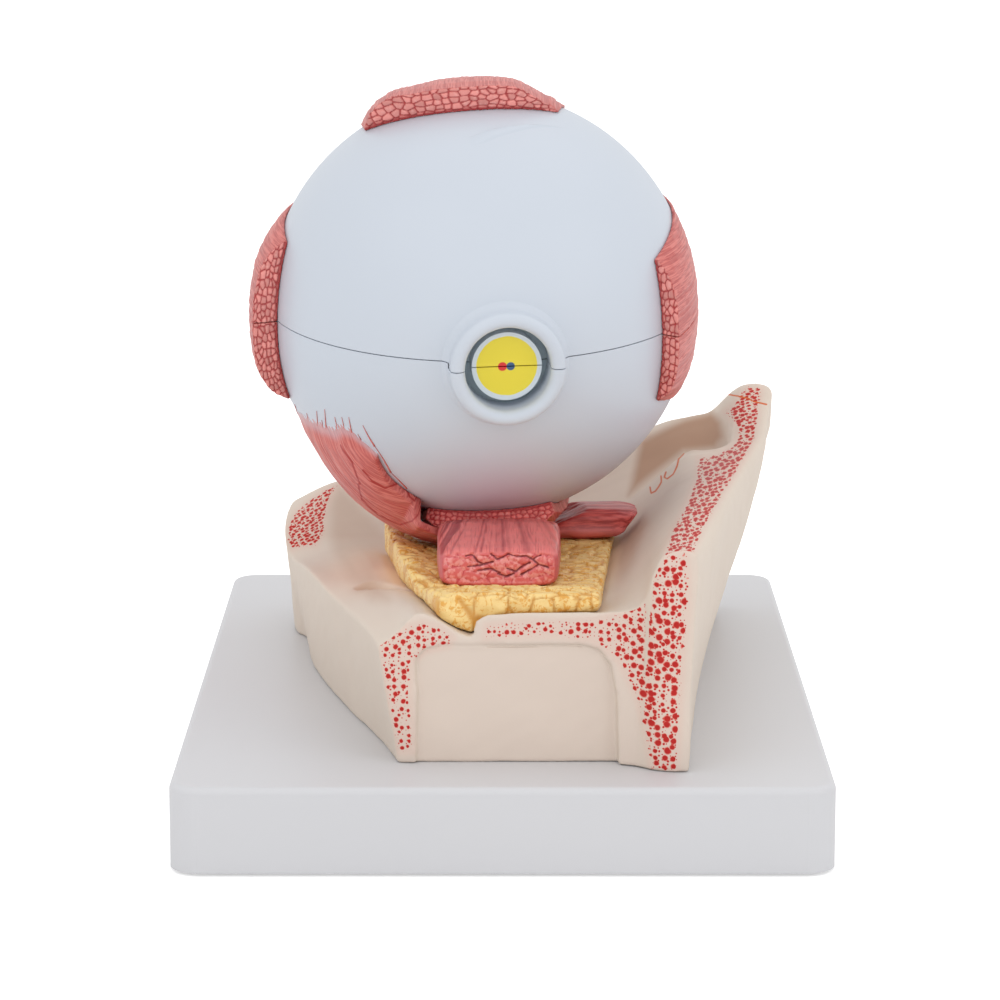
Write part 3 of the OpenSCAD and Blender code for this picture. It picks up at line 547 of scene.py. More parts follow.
# Vessels painted over the inferior oblique, as the picture shows them
OBLIQUE_VESSELS = [
    [(362, 424), (380, 445), (396, 470), (414, 495), (421, 510)],
    [(363, 470), (372, 481), (385, 488), (397, 484), (399, 478)],
    [(358, 484), (362, 500), (378, 515), (400, 525), (412, 521), (420, 513)],
    [(340, 446), (352, 462), (360, 484)],
    [(402, 482), (410, 497), (420, 505)],
]


def make_muscles():
    paint = muscle_paint("muscle_paint")
    deep_paint = muscle_paint("muscle_deep_paint", cell=(238, 118, 112), mortar=(186, 46, 48))
    dark_paint = muscle_paint("muscle_dark_paint", (220, 124, 114), (178, 60, 54), fringed=True)

    def superior(across):
        return 0.2 * smooth(across, 12, 20) * smooth(across, 34, 27) - 0.42 * smooth(-across, 14, 24)

    def medial(across):
        return -0.13 + 0 * across

    for node, turn, size, flat, tip, fuller, seed in (
        ("superior_rectus", 95, 2.6, 0.68, -27, superior, 1),
        ("lateral_rectus_upper", 180, 2.2, 0.62, -31, None, 2),
        ("lateral_rectus_lower", 180, 2.2, 0.62, None, None, 3),
        ("medial_rectus_upper", 0, 2.3, 0.85, 28, medial, 4),
        ("medial_rectus_lower", 0, 2.3, 0.85, None, medial, 5),
        ("inferior_rectus", 272, 1.7, 0.8, None, None, 6),
    ):
        piece = sculpt(node, voxel=0.3, passes=2, relief=cobbles(turn, size, seed, flat, tip, fuller))
        piece.data.materials.append(deep_paint if node == "inferior_rectus" else paint)
    oblique = sculpt("inferior_oblique", voxel=0.35, passes=3, relief=oblique_relief)
    oblique.data.materials.append(dark_paint)
    make_fringe(dark_paint)


# Tips of the fibres in which the oblique's fan runs out on the sclera, in the picture: foot, tip
# and width at the foot in millimetres
FRINGE = [
    ((301, 424), (295, 404), 0.9), ((311, 436), (307, 413), 0.8), ((320, 446), (317, 411), 0.6),
    ((330, 448), (325, 409), 0.7), ((340, 444), (335, 417), 0.5), ((348, 452), (342, 417), 0.6),
    ((356, 446), (349, 417), 0.6), ((375, 446), (363, 425), 0.45), ((391, 472), (375, 446), 0.5),
    ((407, 488), (391, 472), 0.5), ((345, 440), (338, 424), 0.4), ((326, 436), (322, 420), 0.4),
    ((366, 452), (358, 434), 0.4), ((380, 470), (370, 452), 0.5),
]


def on_sclera(u, v, proud):
    """The point of the sclera that the picture shows at (u, v), raised by proud millimetres."""
    ray = np.array([(u - PICTURE_MID) / FOCAL, 1.0, -(v - PICTURE_MID) / FOCAL])
    c, d = math.cos(CAMERA_DOWN), math.sin(CAMERA_DOWN)
    ray = np.array([ray[0], c * ray[1] + d * ray[2], -d * ray[1] + c * ray[2]])
    ray /= np.linalg.norm(ray)
    off = np.array(CAMERA_AT) - eye_mid
    half = off @ ray
    within = half * half - (off @ off - eye_r ** 2)
    reach = -half - math.sqrt(max(within, 0.0))
    p = off + reach * ray
    return eye_mid + p / np.linalg.norm(p) * (eye_r + proud * MM)


def make_fringe(paint):
    """Low tapered ridges on the sclera, one for each fibre tip."""
    steps, across = 9, (-1.0, -0.55, 0.0, 0.55, 1.0)
    points, faces, grain = [], [], []
    for k, (foot, tip, width) in enumerate(FRINGE):
        first = len(points)
        bend = 0.9 * math.sin(k * 1.7)
        for i in range(steps):
            t = i / (steps - 1)
            u = foot[0] + (tip[0] - foot[0]) * t + bend * math.sin(math.pi * t)
            v = foot[1] + (tip[1] - foot[1]) * t
            here = on_sclera(u, v, 0.0)
            ahead = on_sclera(u + (tip[0] - foot[0]) * 0.1, v + (tip[1] - foot[1]) * 0.1, 0.0) - here
            out = (here - eye_mid) / np.linalg.norm(here - eye_mid)
            side = np.cross(ahead, out)
            side /= np.linalg.norm(side)
            half = width * (1 - t) / 2 + 0.08
            for a in across:
                proud = (0.25 * (1 - t) + 0.1) * (1 - a * a) + 0.14
                points.append(here + (side * a * half + out * proud) * MM)
                grain.append((a * half, t * 9.0 + k, 0.0))
        for i in range(steps - 1):
            for j in range(len(across) - 1):
                a = first + i * len(across) + j
                faces.append((a, a + 1, a + 1 + len(across), a + len(across)))
    mesh = bpy.data.meshes.new("oblique_fringe")
    mesh.from_pydata([tuple(p) for p in points], [], faces)
    same = {"vessel": FAR, "rim": FAR, "cut": 0.0, "mortar": 0.0, "bead": 0.0, "fibre": 0.0}
    marks = {name: [value] * len(points) for name, value in same.items()}
    marks.update(grain=grain, fan=[(FAR, 0.0, 0.0)] * len(points))
    for name, values in marks.items():
        vector = name in ("grain", "fan")
        made = mesh.attributes.new(name, "FLOAT_VECTOR" if vector else "FLOAT", "POINT")
        made.data.foreach_set("vector" if vector else "value", np.array(values, np.float32).ravel())
    piece = bpy.data.objects.new("oblique_fringe", mesh)
    bpy.context.scene.collection.objects.link(piece)
    thick = piece.modifiers.new("thick", "SOLIDIFY")
    thick.thickness = 0.08 * MM
    thick.offset = -1
    mesh.materials.append(paint)
    mesh.shade_smooth()
    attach(piece, "eye_lower_shell")


# ---- Bone ----

# Where spongy bone is painted, as the picture shows it, in (u, v): the cut's pillars and band,
# the nasal crest, and the lateral facet
COLUMN = [
    (651, 771), (677, 771), (679, 740), (681, 703), (683, 662), (687, 628), (689, 600), (689, 578),
    (687, 553), (668, 553), (650, 578), (638, 600), (618, 614), (596, 619), (560, 621), (520, 621),
    (486, 625), (484, 638), (510, 637), (560, 637), (590, 640), (604, 648), (619, 662), (630, 684),
    (638, 703), (645, 735),
]
PILLAR = [
    (379, 641), (383, 672), (388, 702), (393, 732), (397, 752), (413, 752), (412, 720), (410, 690),
    (411, 664), (424, 652), (449, 646), (454, 638), (440, 626), (424, 622), (400, 628),
]
CREST = [
    (665, 555), (672, 530), (681, 515), (688, 500), (696, 480), (698, 458), (712, 456), (722, 452),
    (733, 446), (738, 438), (738, 428), (731, 420), (725, 412), (734, 404), (740, 394), (748, 386),
    (762, 388), (759, 408), (757, 424), (754, 440), (746, 456), (739, 468), (730, 483), (722, 494),
    (714, 510), (703, 530), (694, 553), (690, 558), (666, 560),
]
FACET = [
    (338, 485), (326, 489), (310, 499), (295, 512), (288, 526), (287, 540), (292, 550), (300, 547),
    (316, 545), (324, 532), (325, 520), (327, 508), (331, 496),
]
SUTURES = [
    [(728, 394.5), (737, 396), (748, 398), (753, 401), (767, 404)],
    [(684, 454), (679, 459), (677, 466), (673, 474), (667, 478.5), (664, 477), (666, 472)],
    [(661, 476), (661, 482), (658, 487), (655, 491), (651, 493), (650, 487)],
]
# Places on the bone that painted shade darkens, in (u, v): behind the lateral facet, and the hollow by
# the nasal rim
BEHIND_FACET = [
    (338, 485), (331, 500), (330, 530), (333, 552), (350, 578), (372, 600), (388, 600), (376, 572),
    (396, 548), (378, 525), (356, 500),
]
HOLLOW = [
    (640, 440), (684, 418), (712, 411), (722, 422), (724, 437), (716, 449), (684, 452), (650, 478),
    (628, 496),
]
# The bone's rear face lies behind this place along Y, in millimetres
REAR_FACE = -98


def bone_relief(co, normals):
    x, y, z = (co / MM).T
    u, v = seen_at(co)
    view = np.array(CAMERA_AT) - co
    view /= np.linalg.norm(view, axis=1)[:, None]
    shown = (normals * view).sum(1) > 0.05
    rear = shown & (normals[:, 1] < -0.55) & (y < REAR_FACE)
    top = shown & ~rear
    far_off = np.full(len(co), -FAR)
    cut = np.where(rear, np.maximum(depth_in(u, v, COLUMN), depth_in(u, v, PILLAR)), far_off)
    crest = np.where(top & (x > 30), depth_in(u, v, CREST), far_off)
    facet = np.where(top & (x < -45), depth_in(u, v, FACET), far_off)
    strokes = np.stack([(0.95 * u - 0.31 * v) / 5.8, (0.31 * u + 0.95 * v) / 3.2, 0 * u], axis=1)
    dashes = np.stack([(0.88 * u - 0.47 * v) / 5.2, (0.47 * u + 0.88 * v) / 2.7, 0 * u], axis=1)
    place = np.stack([x / 2.2, z / 2.2, 0 * x], axis=1)
    place = np.where((crest > -5)[:, None], strokes, place)
    place = np.where((facet > -5)[:, None], dashes, place)
    suture = np.full(len(co), FAR)
    for line in SUTURES:
        suture = np.minimum(suture, line_distance(u, v, line))
    suture = np.where(shown & (y > 0), suture, FAR)
    # Painted shade: the hollow, the bowl floor with its pit and groove, and the place behind the facet
    # are darkened
    hollow = np.where(shown & (y > 30), smooth(depth_in(u, v, HOLLOW), -5, 7), 0)
    behind = np.where(shown, smooth(depth_in(u, v, BEHIND_FACET), -10, 9), 0) * 0.45
    # Painted reflected light: the upward faces of the bowl near the ball are made lighter and more
    # orange
    painted_bounce_light = smooth(np.hypot(x + 6, 0.8 * (y + 10)), 58, 30) * smooth(normals[:, 2], 0.1, 0.5)
    bowl = np.zeros(len(co))
    for depth, (at_x, wide), (at_y, long), least in (
        (0.4, (-39, 11), (28, 26), 0), (0.8, (-39, 4), (-44, 7), -0.2), (0.35, (-31, 9), (-53, 5), 0),
    ):
        shade_spot = depth * np.exp(-((x - at_x) / wide) ** 2 - ((y - at_y) / long) ** 2)
        bowl = np.maximum(bowl, shade_spot * (normals[:, 2] > least))
    face = smooth(-normals[:, 1], 0.5, 0.9) * (y < -95)
    push = 0.22 * noise2(x + z, y - 0.6 * z, 3, 14.0) + 0.08 * noise2(x - z, y + z, 4, 5.0)
    push += 0.6 * smooth(y, -104, -103) * (y < REAR_FACE) * smooth(-normals[:, 1], 0.6, 0.9)
    pit = np.maximum(np.maximum(cut, crest), facet) > 0
    push -= 0.05 * pit
    blush = np.exp(-(np.clip(-np.maximum(np.maximum(cut, crest), facet), 0, 30) / 3.5) ** 2)
    marks = {"cut": cut, "strokes": np.maximum(crest, facet), "place": place, "suture": suture,
             "painted_shade": np.maximum(np.maximum(hollow, bowl), behind), "face": face, "blush": blush,
             "dense": smooth(x, 30, 41), "painted_bounce_light": painted_bounce_light}
    return push, marks


BONE = (215, 200, 185)
BONE_PALE = (221, 208, 195)
BONE_PAINTED_SHADE = (178, 140, 114)
MARROW = (166, 20, 22)
MARROW_LIT = (200, 46, 40)
MARROW_PALE = (220, 106, 92)


def bone_paint():
    """Matt bone with painted marrow: ringed dots on the cut, strokes on the crest and the facet;
    painted shade darkens the bowl and the hollow, and painted reflected light lightens the bowl near
    the ball.
    """
    p = Paint("bone_paint", 0.6, 0.0, 0.2)
    slow = p.noise(p.place, 22.0, 3.0)
    fine = p.noise(p.place, 420.0, 4.0, 0.6)
    base = p.mix(slow, BONE, BONE_PALE)
    base = p.mix(p.times(p.mark("face"), 0.6), base, (219, 202, 190))
    # Painted reflected light in the bowl, then painted shade
    base = p.mix(p.times(p.mark("painted_bounce_light"), 0.8), base, (243, 214, 190))
    base = p.mix(p.times(p.mark("painted_shade"), 0.85), base, BONE_PAINTED_SHADE)
    base = p.mix(p.times(p.mark("blush"), 0.22), base, (224, 178, 164))
    wobble = p.noise(p.place, 900.0, 2.0)
    place = p.vector("ADD", p.mark("place", True), p.vector("MULTIPLY", wobble, (0.14, 0.14, 0)))

    def dots(scale, low_share, high_share, edge, seed, room):
        """Rim and core of dots of one size class, from 0 to 1; they shrink where room is short."""
        moved = p.vector("ADD", place, (seed, seed * 1.7, 0))
        made = p.cells(moved, scale, flat=True, randomness=0.72)
        chance_here = p.add("ShaderNodeSeparateColor", {0: made.outputs["Color"]}).outputs[0]
        radius = p.math("MULTIPLY_ADD", chance_here, high_share - low_share, low_share)
        radius = p.times(radius, room)
        inside = p.math("DIVIDE", made.outputs["Distance"], radius)
        return p.band(inside, 1.0 + edge, 1.0 - edge), p.band(inside, 0.8 + edge, 0.8 - edge)

    in_cut = p.band(p.mark("cut"), -1.0, 0.0)
    in_strokes = p.band(p.mark("strokes"), -1.0, 0.0)
    cut_room = p.math("MULTIPLY_ADD", p.band(p.mark("cut"), -0.5, 3.5), 0.95, 0.05)
    cut_room = p.times(cut_room, p.math("MULTIPLY_ADD", p.mark("dense"), 0.33, 0.84))
    stroke_room = p.math("MULTIPLY_ADD", p.band(p.mark("strokes"), -0.5, 2.5), 0.9, 0.1)
    big, big_core = dots(1.0, 0.24, 0.44, 0.1, 0.0, cut_room)
    small, small_core = dots(1.9, 0.05, 0.3, 0.16, 3.3, cut_room)
    dash, dash_core = dots(1.0, 0.32, 0.52, 0.14, 7.1, stroke_room)
    tick, tick_core = dots(1.7, 0.1, 0.34, 0.16, 11.9, stroke_room)
    marrow = p.mix(fine, MARROW, MARROW_LIT)
    for mask, halo, core in (
        (in_cut, small, small_core), (in_cut, big, big_core),
        (in_strokes, tick, tick_core), (in_strokes, dash, dash_core),
    ):
        base = p.mix(p.times(p.times(mask, halo), 0.8), base, MARROW_PALE)
        base = p.mix(p.times(mask, core), base, marrow)
    base = p.mix(p.times(p.band(p.mark("suture"), 1.15, 0.45), 0.95), base, (208, 96, 34))
    p.colour(base)
    p.rough(p.math("MULTIPLY_ADD", slow, 0.14, 0.44))
    p.bump(fine, 0.16, 0.06)
    return p.material


def make_bone():
    bone = sculpt("bony_orbit", voxel=0.55, passes=14, relief=bone_relief)
    bone.data.materials.append(bone_paint())


# ---- Fat ----


def fat_relief(co, normals):
    x, y, z = (co / MM).T
    top = smooth(normals[:, 2], 0.15, 0.6)
    side = smooth(-normals[:, 1], 0.4, 0.8) * (y < -80)
    edge = smooth(-19 - 0.22 * (y + 95) - x, -13, -2)
    # Crinkles: bent ridges along the rim, finer lobes elsewhere
    swirl = noise2(x, y, 21, 8.0)
    along = x * 0.75 + y * 0.66 + 2.6 * swirl
    folds = ripple(along, 22, 2.6)
    drift = 1.8 * noise2(x, y, 23, 6.0)
    lobe_gap, _ = cells(0.8 * x + 2.0 * swirl, 1.25 * y + z + drift, 5.4, 24, 0.9)
    crack_gap, _ = cells(x + 0.6 * swirl, z * 0.25, 8.5, 25, 0.8)
    push = top * (0.5 * folds * (0.35 + 0.65 * edge) + 0.6 * smooth(lobe_gap, 0, 1.4) - 0.3)
    push += side * (0.6 * smooth(crack_gap, 0, 1.1) - 0.5 + 0.3 * noise2(x, z, 26, 2.6))
    push += 0.22 * noise2(x + z, y - z, 27, 2.2) + 0.12 * noise2(x - z, y, 28, 1.1)
    crease = (1 - smooth(lobe_gap, 0.1, 0.9)) * top * (1 - edge)
    crease = crease + (1 - smooth(crack_gap, 0.1, 0.8)) * side
    grain = np.stack([x, y, z], axis=1)
    return push, {"valley": np.clip(crease, 0, 1), "fold": folds, "grain": grain, "edge": edge}


def make_fat():
    fat = sculpt("orbital_fat", voxel=0.45, passes=130, relief=fat_relief)
    p = Paint("fat_paint", 0.45, 0.08)
    grain = p.mark("grain", True)
    strokes = p.noise(p.stretch(grain, (0.55, 0.2, 0.5), (0, 0, 0.75)), 1.0, 4.0, 0.62, 1.4)
    dabs = p.noise(p.stretch(grain, (0.22, 0.5, 0.5), (0, 0, 0.3)), 1.0, 4.0, 0.6, 1.0)
    spots = p.noise(p.stretch(grain, (0.35, 0.3, 0.6)), 1.0, 3.0, 0.6)
    fine = p.noise(p.place, 700.0, 3.0)
    base = p.mix(spots, (240, 200, 118), (249, 222, 158))
    ochre = p.mix(fine, (218, 146, 34), (232, 170, 64))
    share = p.math("MAXIMUM", p.band(strokes, 0.53, 0.62), p.band(dabs, 0.56, 0.64))
    colour = p.mix(p.times(share, 0.85), base, ochre)
    colour = p.mix(p.times(p.mark("valley"), 0.8), colour, (206, 140, 44))
    folded = p.math("MULTIPLY_ADD", p.mark("edge"), 0.5, 0.15)
    folded = p.times(p.band(p.mark("fold"), 0.0, -0.6), folded)
    colour = p.mix(folded, colour, (210, 146, 56))
    p.colour(colour)
    p.rough(p.math("MULTIPLY_ADD", spots, 0.2, 0.32))
    p.bump(strokes, 0.3, 0.3)
    fat.data.materials.append(p.material)


# ---- The cut muscles on the fat ----

# Cracks in the stump's end face, as the picture shows them
STUMP_CRACKS = [
    [(466, 556), (472, 554), (478, 562), (484, 565), (493, 562)],
    [(468, 567), (480, 566), (492, 562)],
    [(491, 553), (497, 560), (503, 558), (508, 553), (517, 557), (526, 556), (533, 560), (541, 554)],
    [(533, 560), (539, 565), (549, 568)], [(539, 565), (531, 570), (521, 575)],
    [(507, 569), (516, 572), (522, 567), (530, 563)], [(478, 571), (490, 569), (500, 573)],
    [(498, 574), (506, 577), (514, 574)],
]


# The stump's end face: half its width and half its height, and where its middle lies along X and
# Z, in millimetres
STUMP_HALF = (17.6, 6.4)
STUMP_MID = (-1, 73.0)


def stump_relief(co, normals):
    x, y, z = (co / MM).T
    u, v = seen_at(co)
    end = smooth(-normals[:, 1], 0.55, 0.85) * (y < -60)
    top = smooth(normals[:, 2], 0.3, 0.7)
    bend = x + 0.012 * (y + 50) * (x + 1)
    fibre = 0.6 * ripple(bend + 0.5 * noise2(x, y, 41, 7.0), 42, 1.25) + 0.4 * ripple(bend, 43, 0.6)
    crack = np.full(len(co), FAR)
    for line in STUMP_CRACKS:
        crack = np.minimum(crack, line_distance(u, v, line))
    gap, _ = cells(x + 0.7 * noise2(x, z, 44, 3.0), z * 1.5, 4.2, 45, 0.95)
    rim = np.minimum(STUMP_HALF[0] - np.abs(x - STUMP_MID[0]), STUMP_HALF[1] - np.abs(z - STUMP_MID[1]))
    inset = end * smooth(rim, 0.8, 2.4)
    push = top * (1 - end) * 0.26 * fibre - inset * 0.6
    push -= end * 0.5 * (1 - smooth(crack, 0.3, 2.0))
    push += inset * 0.25 * smooth(gap, 0.0, 1.0)
    push += 0.14 * noise2(x + z, y - z, 46, 3.0)
    marks = {"end": end, "fibre": fibre, "cell": gap, "top": top, "inset": inset,
             "crack": np.where(end > 0.3, crack, FAR), "grain": np.stack([x, y, z], axis=1)}
    return push, marks


def stump_paint():
    p = Paint("stump_paint", 0.4, 0.2)
    grain = p.mark("grain", True)
    hair = p.noise(p.stretch(grain, (2.4, 0.1, 0.3)), 1.0, 4.0, 0.6)
    slow = p.noise(p.stretch(grain, (0.25, 0.2, 0.3)), 1.0, 2.0)
    fine = p.noise(p.place, 800.0, 3.0)
    pink = p.mix(slow, (226, 112, 110), (234, 132, 126))
    groove = p.times(p.band(p.mark("fibre"), 0.25, -0.55), p.mark("top"))
    # Painted shade: the faces below the top are darker
    below = p.math("SUBTRACT", 1.0, p.mark("top"))
    top = p.mix(p.times(below, 0.7), pink, (184, 70, 80))
    top = p.mix(p.times(groove, 0.8), top, (146, 44, 54))
    hairs = p.times(p.band(hair, 0.5, 0.66), p.times(p.mark("top"), 0.5))
    top = p.mix(hairs, top, (168, 58, 66))
    end = p.mix(p.band(p.mark("cell"), 0.7, 0.1), (222, 106, 108), (196, 66, 74))
    # Painted highlights: lighter spots inside the end face
    end = p.mix(p.times(p.mark("inset"), p.band(fine, 0.42, 0.62)), end, (240, 156, 154))
    colour = p.mix(p.mark("end"), top, end)
    ragged = p.math("MULTIPLY_ADD", p.noise(p.place, 500.0, 3.0, 0.7), 2.4, p.mark("crack"))
    colour = p.mix(p.band(ragged, 2.7, 1.5), colour, (126, 34, 46))
    p.colour(colour)
    p.bump(hair, 0.2, 0.12)
    return p.material


def stub_relief(co, normals):
    x, y, z = (co / MM).T
    fibre = 0.6 * ripple(y + 0.25 * z + 0.5 * noise2(x, y, 51, 8.0), 52, 1.5)
    fibre = fibre + 0.4 * ripple(y - z, 53, 0.7)
    ridge = np.exp(-((z - 69.5) / 1.3) ** 2) * smooth(-normals[:, 1], 0.2, 0.7)
    push = 0.2 * fibre * smooth(normals[:, 2], 0.0, 0.6) + 0.55 * ridge
    push = push + 0.2 * noise2(x, z + y, 54, 4.0)
    return push, {"ridge": ridge, "grain": np.stack([x, y, z], axis=1)}


def make_stumps():
    stump = sculpt("inferior_rectus_stump", voxel=0.35, passes=10, relief=stump_relief)
    stump.data.materials.append(stump_paint())
    stub = sculpt("inferior_oblique_stump", voxel=0.4, passes=14, relief=stub_relief)
    p = Paint("stub_paint", 0.42, 0.12)
    streaks = p.noise(p.stretch(p.mark("grain", True), (0.12, 1.6, 0.9)), 1.0, 4.0, 0.6)
    colour = p.mix(p.band(streaks, 0.35, 0.65), (164, 50, 50), (220, 98, 94))
    # Painted highlight: lighter along the ridge
    colour = p.mix(p.times(p.mark("ridge"), 0.6), colour, (222, 128, 126))
    p.colour(colour)
    p.bump(streaks, 0.25, 0.15)
    stub.data.materials.append(p.material)


# ---- Stage ----


def emission(name, strength):
    """Pale stage material: lit and shadowed as usual, and brightened where the camera sees it."""
    material = bpy.data.materials.new(name)
    material.use_nodes = True
    shader = material.node_tree.nodes["Principled BSDF"]
    shader.inputs["Base Color"].default_value = (0.92, 0.92, 0.92, 1)
    shader.inputs["Roughness"].default_value = 0.9
    shader.inputs["Emission Color"].default_value = (1, 1, 1, 1)
    path = material.node_tree.nodes.new("ShaderNodeLightPath")
    scale = material.node_tree.nodes.new("ShaderNodeMath")
    scale.operation = "MULTIPLY"
    scale.inputs[1].default_value = strength
    material.node_tree.links.new(path.outputs["Is Camera Ray"], scale.inputs[0])
    material.node_tree.links.new(scale.outputs[0], shader.inputs["Emission Strength"])
    return material


def make_stage():
    bpy.ops.mesh.primitive_plane_add(size=12, location=(0, 2, 0))
    floor = bpy.context.object
    floor.name = "floor"
    floor.data.materials.append(emission("floor_paint", 0.45))


def area_light(name, at, aim, size, power):
    data = bpy.data.lights.new(name, "AREA")
    data.shape = "RECTANGLE"
    data.size, data.size_y = size
    data.energy = power
    lamp = bpy.data.objects.new(name, data)
    lamp.location = at
    lamp.rotation_euler = (Vector(aim) - Vector(at)).to_track_quat("-Z", "Y").to_euler()
    bpy.context.scene.collection.objects.link(lamp)


# Strength of the world on the part, and where it is seen directly or through clear pieces
WORLD_LIT = 0.92
WORLD_SEEN = 1.0


def make_light():
    world = bpy.data.worlds.new("world")
    bpy.context.scene.world = world
    world.use_nodes = True
    tree = world.node_tree
    tree.nodes.clear()
    out = tree.nodes.new("ShaderNodeOutputWorld")
    path = tree.nodes.new("ShaderNodeLightPath")
    seen = tree.nodes.new("ShaderNodeMath")
    seen.operation = "MAXIMUM"
    lit = tree.nodes.new("ShaderNodeBackground")
    lit.inputs["Color"].default_value = (1, 1, 1, 1)
    lit.inputs["Strength"].default_value = WORLD_LIT
    white = tree.nodes.new("ShaderNodeBackground")
    white.inputs["Color"].default_value = (1, 1, 1, 1)
    white.inputs["Strength"].default_value = WORLD_SEEN
    mix = tree.nodes.new("ShaderNodeMixShader")
    tree.links.new(path.outputs["Is Camera Ray"], seen.inputs[0])
    tree.links.new(path.outputs["Is Transmission Ray"], seen.inputs[1])
    tree.links.new(seen.outputs[0], mix.inputs[0])
    tree.links.new(lit.outputs[0], mix.inputs[1])
    tree.links.new(white.outputs[0], mix.inputs[2])
    tree.links.new(mix.outputs[0], out.inputs[0])
    area_light("key", (-1.1, -1.3, 1.7), (0, 0, 0.1), (1.9, 1.5), 4.5)
    area_light("fill", (1.6, -1.2, 1.1), (0, 0, 0.12), (1.5, 1.5), 4)
    area_light("front", (0.0, -1.7, 0.55), (0, 0, 0.08), (1.2, 0.8), 1)
    area_light("top", (0.3, 0.3, 1.9), (0, 0, 0), (2.2, 2.2), 4)
    bpy.context.scene.view_settings.view_transform = "Standard"


# ---- Making ----


def sclera_paint():
    """Bluish white with a satin gloss, and the slow unevenness of a sprayed shell."""
    p = Paint("sclera_paint", 0.45, 0.06, 0.35)
    fine = p.noise(p.place, 500.0, 2.0)
    colour, slow = sclera_colour(p)
    p.colour(colour)
    p.rough(p.math("MULTIPLY_ADD", slow, 0.1, 0.34))
    p.bump(p.math("MULTIPLY_ADD", fine, 0.15, slow), 0.1, 0.25)
    return p.material


def tendon_relief(co, normals):
    """The tendon sinks into the shell all around but at its nasal end, under faint brushed strokes."""
    height, _, forward = on_sphere(co, 90)
    latitude = forward / (eye_r / MM * math.pi / 180)
    p = in_eye(co)
    turn = np.degrees(np.arctan2(p[:, 2], p[:, 0]))
    from_rear = latitude + 40 - 24 * (100 - turn) / 34
    from_left = 100 - turn - 1.5
    from_right = turn - 64
    risen = smooth(from_rear, 1.0, 9.0) * smooth(from_left, 0.5, 12.0) * smooth(from_right, 0.0, 1.4)
    outward = p / np.linalg.norm(p, axis=1)[:, None]
    facing = ((normals @ eye_axes) * outward).sum(1)
    stroke = ripple(from_rear + 0.3 * ripple(turn, 62, 9.0), 61, 1.3) * smooth(from_left, 2, 14)
    shown = risen * (0.75 + 0.07 * stroke) - 0.4
    push = away(co) * np.where(facing > -0.4, shown - height, shown - height - 0.5)[:, None]
    return push, {"stroke": stroke * smooth(from_rear, 0.5, 3)}


def make_tendon():
    tendon = sculpt("superior_oblique", voxel=0.24, passes=0, relief=tendon_relief)
    p = Paint("tendon_paint", 0.45, 0.06, 0.35)
    colour, _ = sclera_colour(p)
    p.colour(p.mix(p.times(p.band(p.mark("stroke"), 0.2, -0.8), 0.4), colour, (192, 200, 211)))
    p.bump(p.noise(p.place, 500.0, 2.0), 0.1, 0.1)
    tendon.data.materials.append(p.material)


def nerve_paint():
    """Yellow core in a white sheath, with the artery and the vein in its middle."""
    p = Paint("nerve_paint", 0.35, 0.2)
    side, up = p.along(nerve_side), p.along(eye_up)
    from_axis = p.span(side, up)
    slow = p.noise(p.place, 60.0, 2.0)
    fine = p.noise(p.place, 900.0, 2.0)
    sheath = p.mix(slow, (196, 208, 216), (214, 222, 228))
    edge = p.math("MULTIPLY_ADD", p.noise(p.place, 260.0, 2.0), 0.5, 8.45)
    core = p.mix(slow, (226, 207, 40), (234, 216, 56))
    colour = p.mix(p.band(p.math("SUBTRACT", from_axis, edge), 0.12, -0.12), sheath, core)
    colour = p.mix(p.near(side, up, (-1.25, -0.15), 1.3), colour, (214, 30, 34))
    colour = p.mix(p.near(side, up, (1.1, -0.15), 1.2), colour, (44, 84, 128))
    p.colour(colour)
    p.bump(fine, 0.1, 0.05)
    return p.material


def choroid_paint():
    """Brown-red outside with whorls of veins, and the retina's branching vessels inside."""
    p = Paint("choroid_paint", 0.45, 0.1)
    side, front, up = p.along(eye_side), p.along(eye_front), p.along(eye_up)
    radius = p.span(side, front, up)
    warp = p.noise(p.place, 45.0, 2.0)
    moved = p.vector("ADD", p.place, p.vector("MULTIPLY", warp, (0.012, 0.012, 0.012)))
    veins = p.cells(moved, 95.0, "DISTANCE_TO_EDGE").outputs["Distance"]
    small = p.cells(moved, 210.0, "DISTANCE_TO_EDGE").outputs["Distance"]
    slow = p.noise(p.place, 40.0, 3.0)
    outside = p.mix(slow, (126, 50, 38), (158, 74, 52))
    outside = p.mix(p.times(p.band(small, 0.1, 0.03), 0.6), outside, (186, 60, 48))
    outside = p.mix(p.band(veins, 0.13, 0.06), outside, (70, 62, 104))
    inside = p.mix(slow, (216, 122, 72), (230, 146, 92))
    inside = p.mix(p.times(p.band(small, 0.07, 0.02), 0.5), inside, (196, 50, 40))
    inside = p.mix(p.band(veins, 0.07, 0.03), inside, (178, 30, 32))
    disc = p.span(p.along(nerve_side), up)
    back = p.band(front, -20.0, -30.0)
    inside = p.mix(p.times(p.band(disc, 9.2, 8.6), back), inside, (240, 218, 150))
    spot = p.span(p.math("ADD", side, 8.0), p.math("ADD", up, 1.0))
    macula = p.times(p.band(spot, 8.0, 4.0), p.times(back, 0.7))
    inside = p.mix(macula, inside, (176, 74, 44))
    middle = (choroid_r / MM) - 1.5
    colour = p.mix(p.band(radius, middle - 0.5, middle + 0.5), inside, outside)
    near_nerve = p.times(p.band(disc, 16.5, 15.0), p.band(radius, middle - 0.5, middle + 0.5))
    p.colour(p.mix(p.times(near_nerve, back), colour, (182, 198, 205)))
    p.bump(veins, 0.25, 0.2)
    return p.material


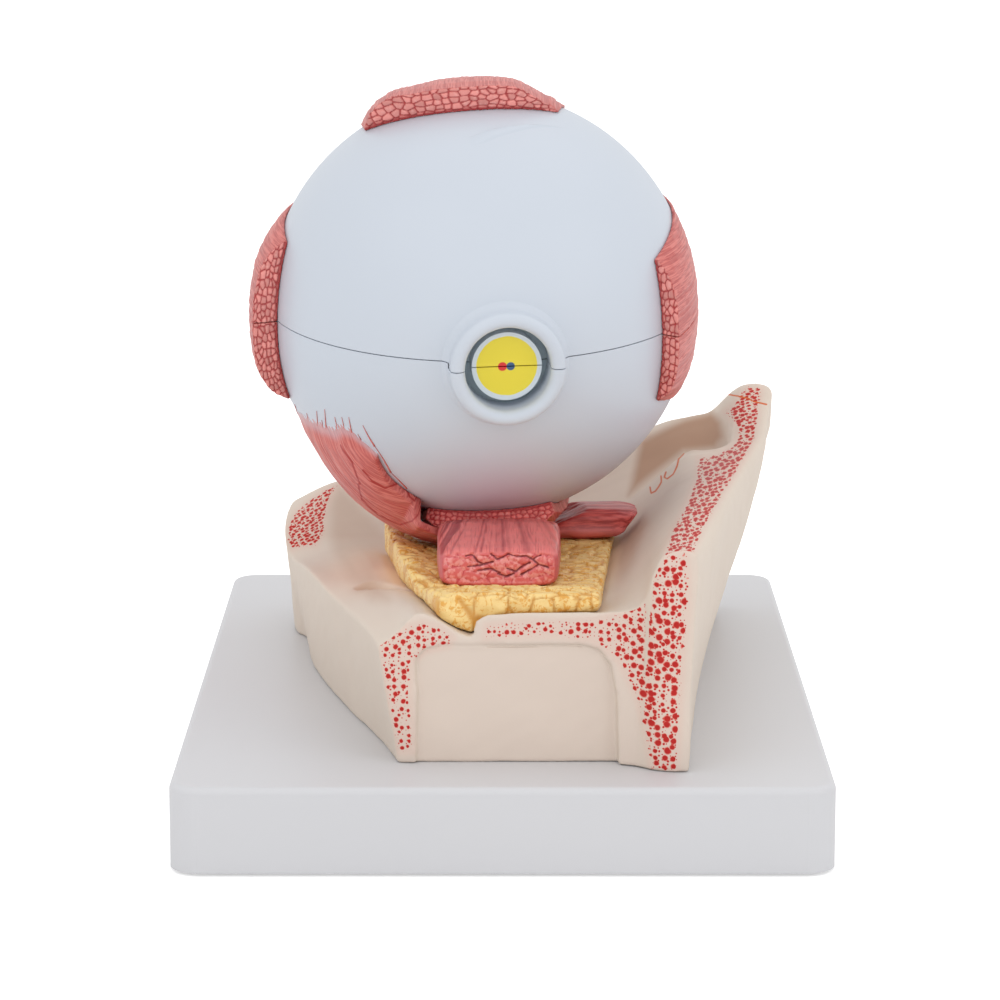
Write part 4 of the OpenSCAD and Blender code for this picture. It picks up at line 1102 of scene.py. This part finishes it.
def iris_paint():
    p = Paint("iris_paint", 0.4, 0.3)
    side, up = p.along(eye_side), p.along(eye_up)
    from_axis = p.span(side, up)
    turn = p.math("ARCTAN2", up, side)
    parts = {0: p.times(turn, 14.0), 1: p.times(from_axis, 0.12)}
    spoke = p.add("ShaderNodeCombineXYZ", parts).outputs[0]
    rays = p.noise(spoke, 1.6, 4.0, 0.65)
    colour = p.mix(p.band(rays, 0.35, 0.65), (66, 98, 128), (140, 172, 190))
    colour = p.mix(p.band(from_axis, 13.0, 9.5), colour, (150, 112, 70))
    p.colour(p.mix(p.band(from_axis, 24.0, 29.0), colour, (40, 62, 84)))
    p.bump(rays, 0.5, 0.35)
    return p.material


def ciliary_paint():
    p = Paint("ciliary_paint", 0.5, 0.1)
    turn = p.math("ARCTAN2", p.along(eye_up), p.along(eye_side))
    fold = p.add("ShaderNodeCombineXYZ", {0: p.times(turn, 22.0)}).outputs[0]
    rays = p.noise(fold, 1.5, 3.0)
    slow = p.noise(p.place, 80.0, 3.0)
    colour = p.mix(slow, (84, 52, 40), (112, 72, 54))
    p.colour(p.mix(p.times(rays, 0.6), colour, (150, 104, 78)))
    p.bump(rays, 0.4, 0.4)
    return p.material


def dress_plain():
    metal = steel("screw_steel_paint")
    rubber = moulded("rubber_paint", (38, 38, 40), 0.8, grain=900.0)
    wear("base_shell", moulded("board_paint", (209, 209, 212), 0.42, 0.015))
    wear("base_plate", moulded("plate_paint", (190, 192, 195), 0.6))
    for i in range(1, 5):
        wear(f"rubber_foot_{i}", rubber)
        wear(f"plate_screw_{i}", metal)
    for i in range(1, 4):
        wear(f"orbit_screw_{i}", metal)
    wear("eye_peg", moulded("peg_paint", (225, 225, 220), 0.5))
    glass = clear("cornea_paint", (236, 244, 248))
    gel = clear("vitreous_paint", (236, 244, 248), 1.36)
    choroid, iris, ciliary, nerve, sclera = (
        choroid_paint(), iris_paint(), ciliary_paint(), nerve_paint(), sclera_paint())
    for half in ("lower", "upper"):
        wear(f"sclera_{half}", sclera)
        wear(f"cornea_{half}", glass)
        wear(f"choroid_{half}", choroid)
        wear(f"ciliary_body_{half}", ciliary)
        wear(f"iris_{half}", iris)
        wear(f"optic_nerve_{half}", nerve)
    make_tendon()
    wear("vitreous_body", gel)
    wear("lens", clear("lens_paint", (247, 240, 212)))
    for n in ("seam_pin_lateral", "seam_pin_medial"):
        wear(n, metal)


make_camera()
make_light()
make_stage()
dress_plain()
make_muscles()
make_bone()
make_fat()
make_stumps()
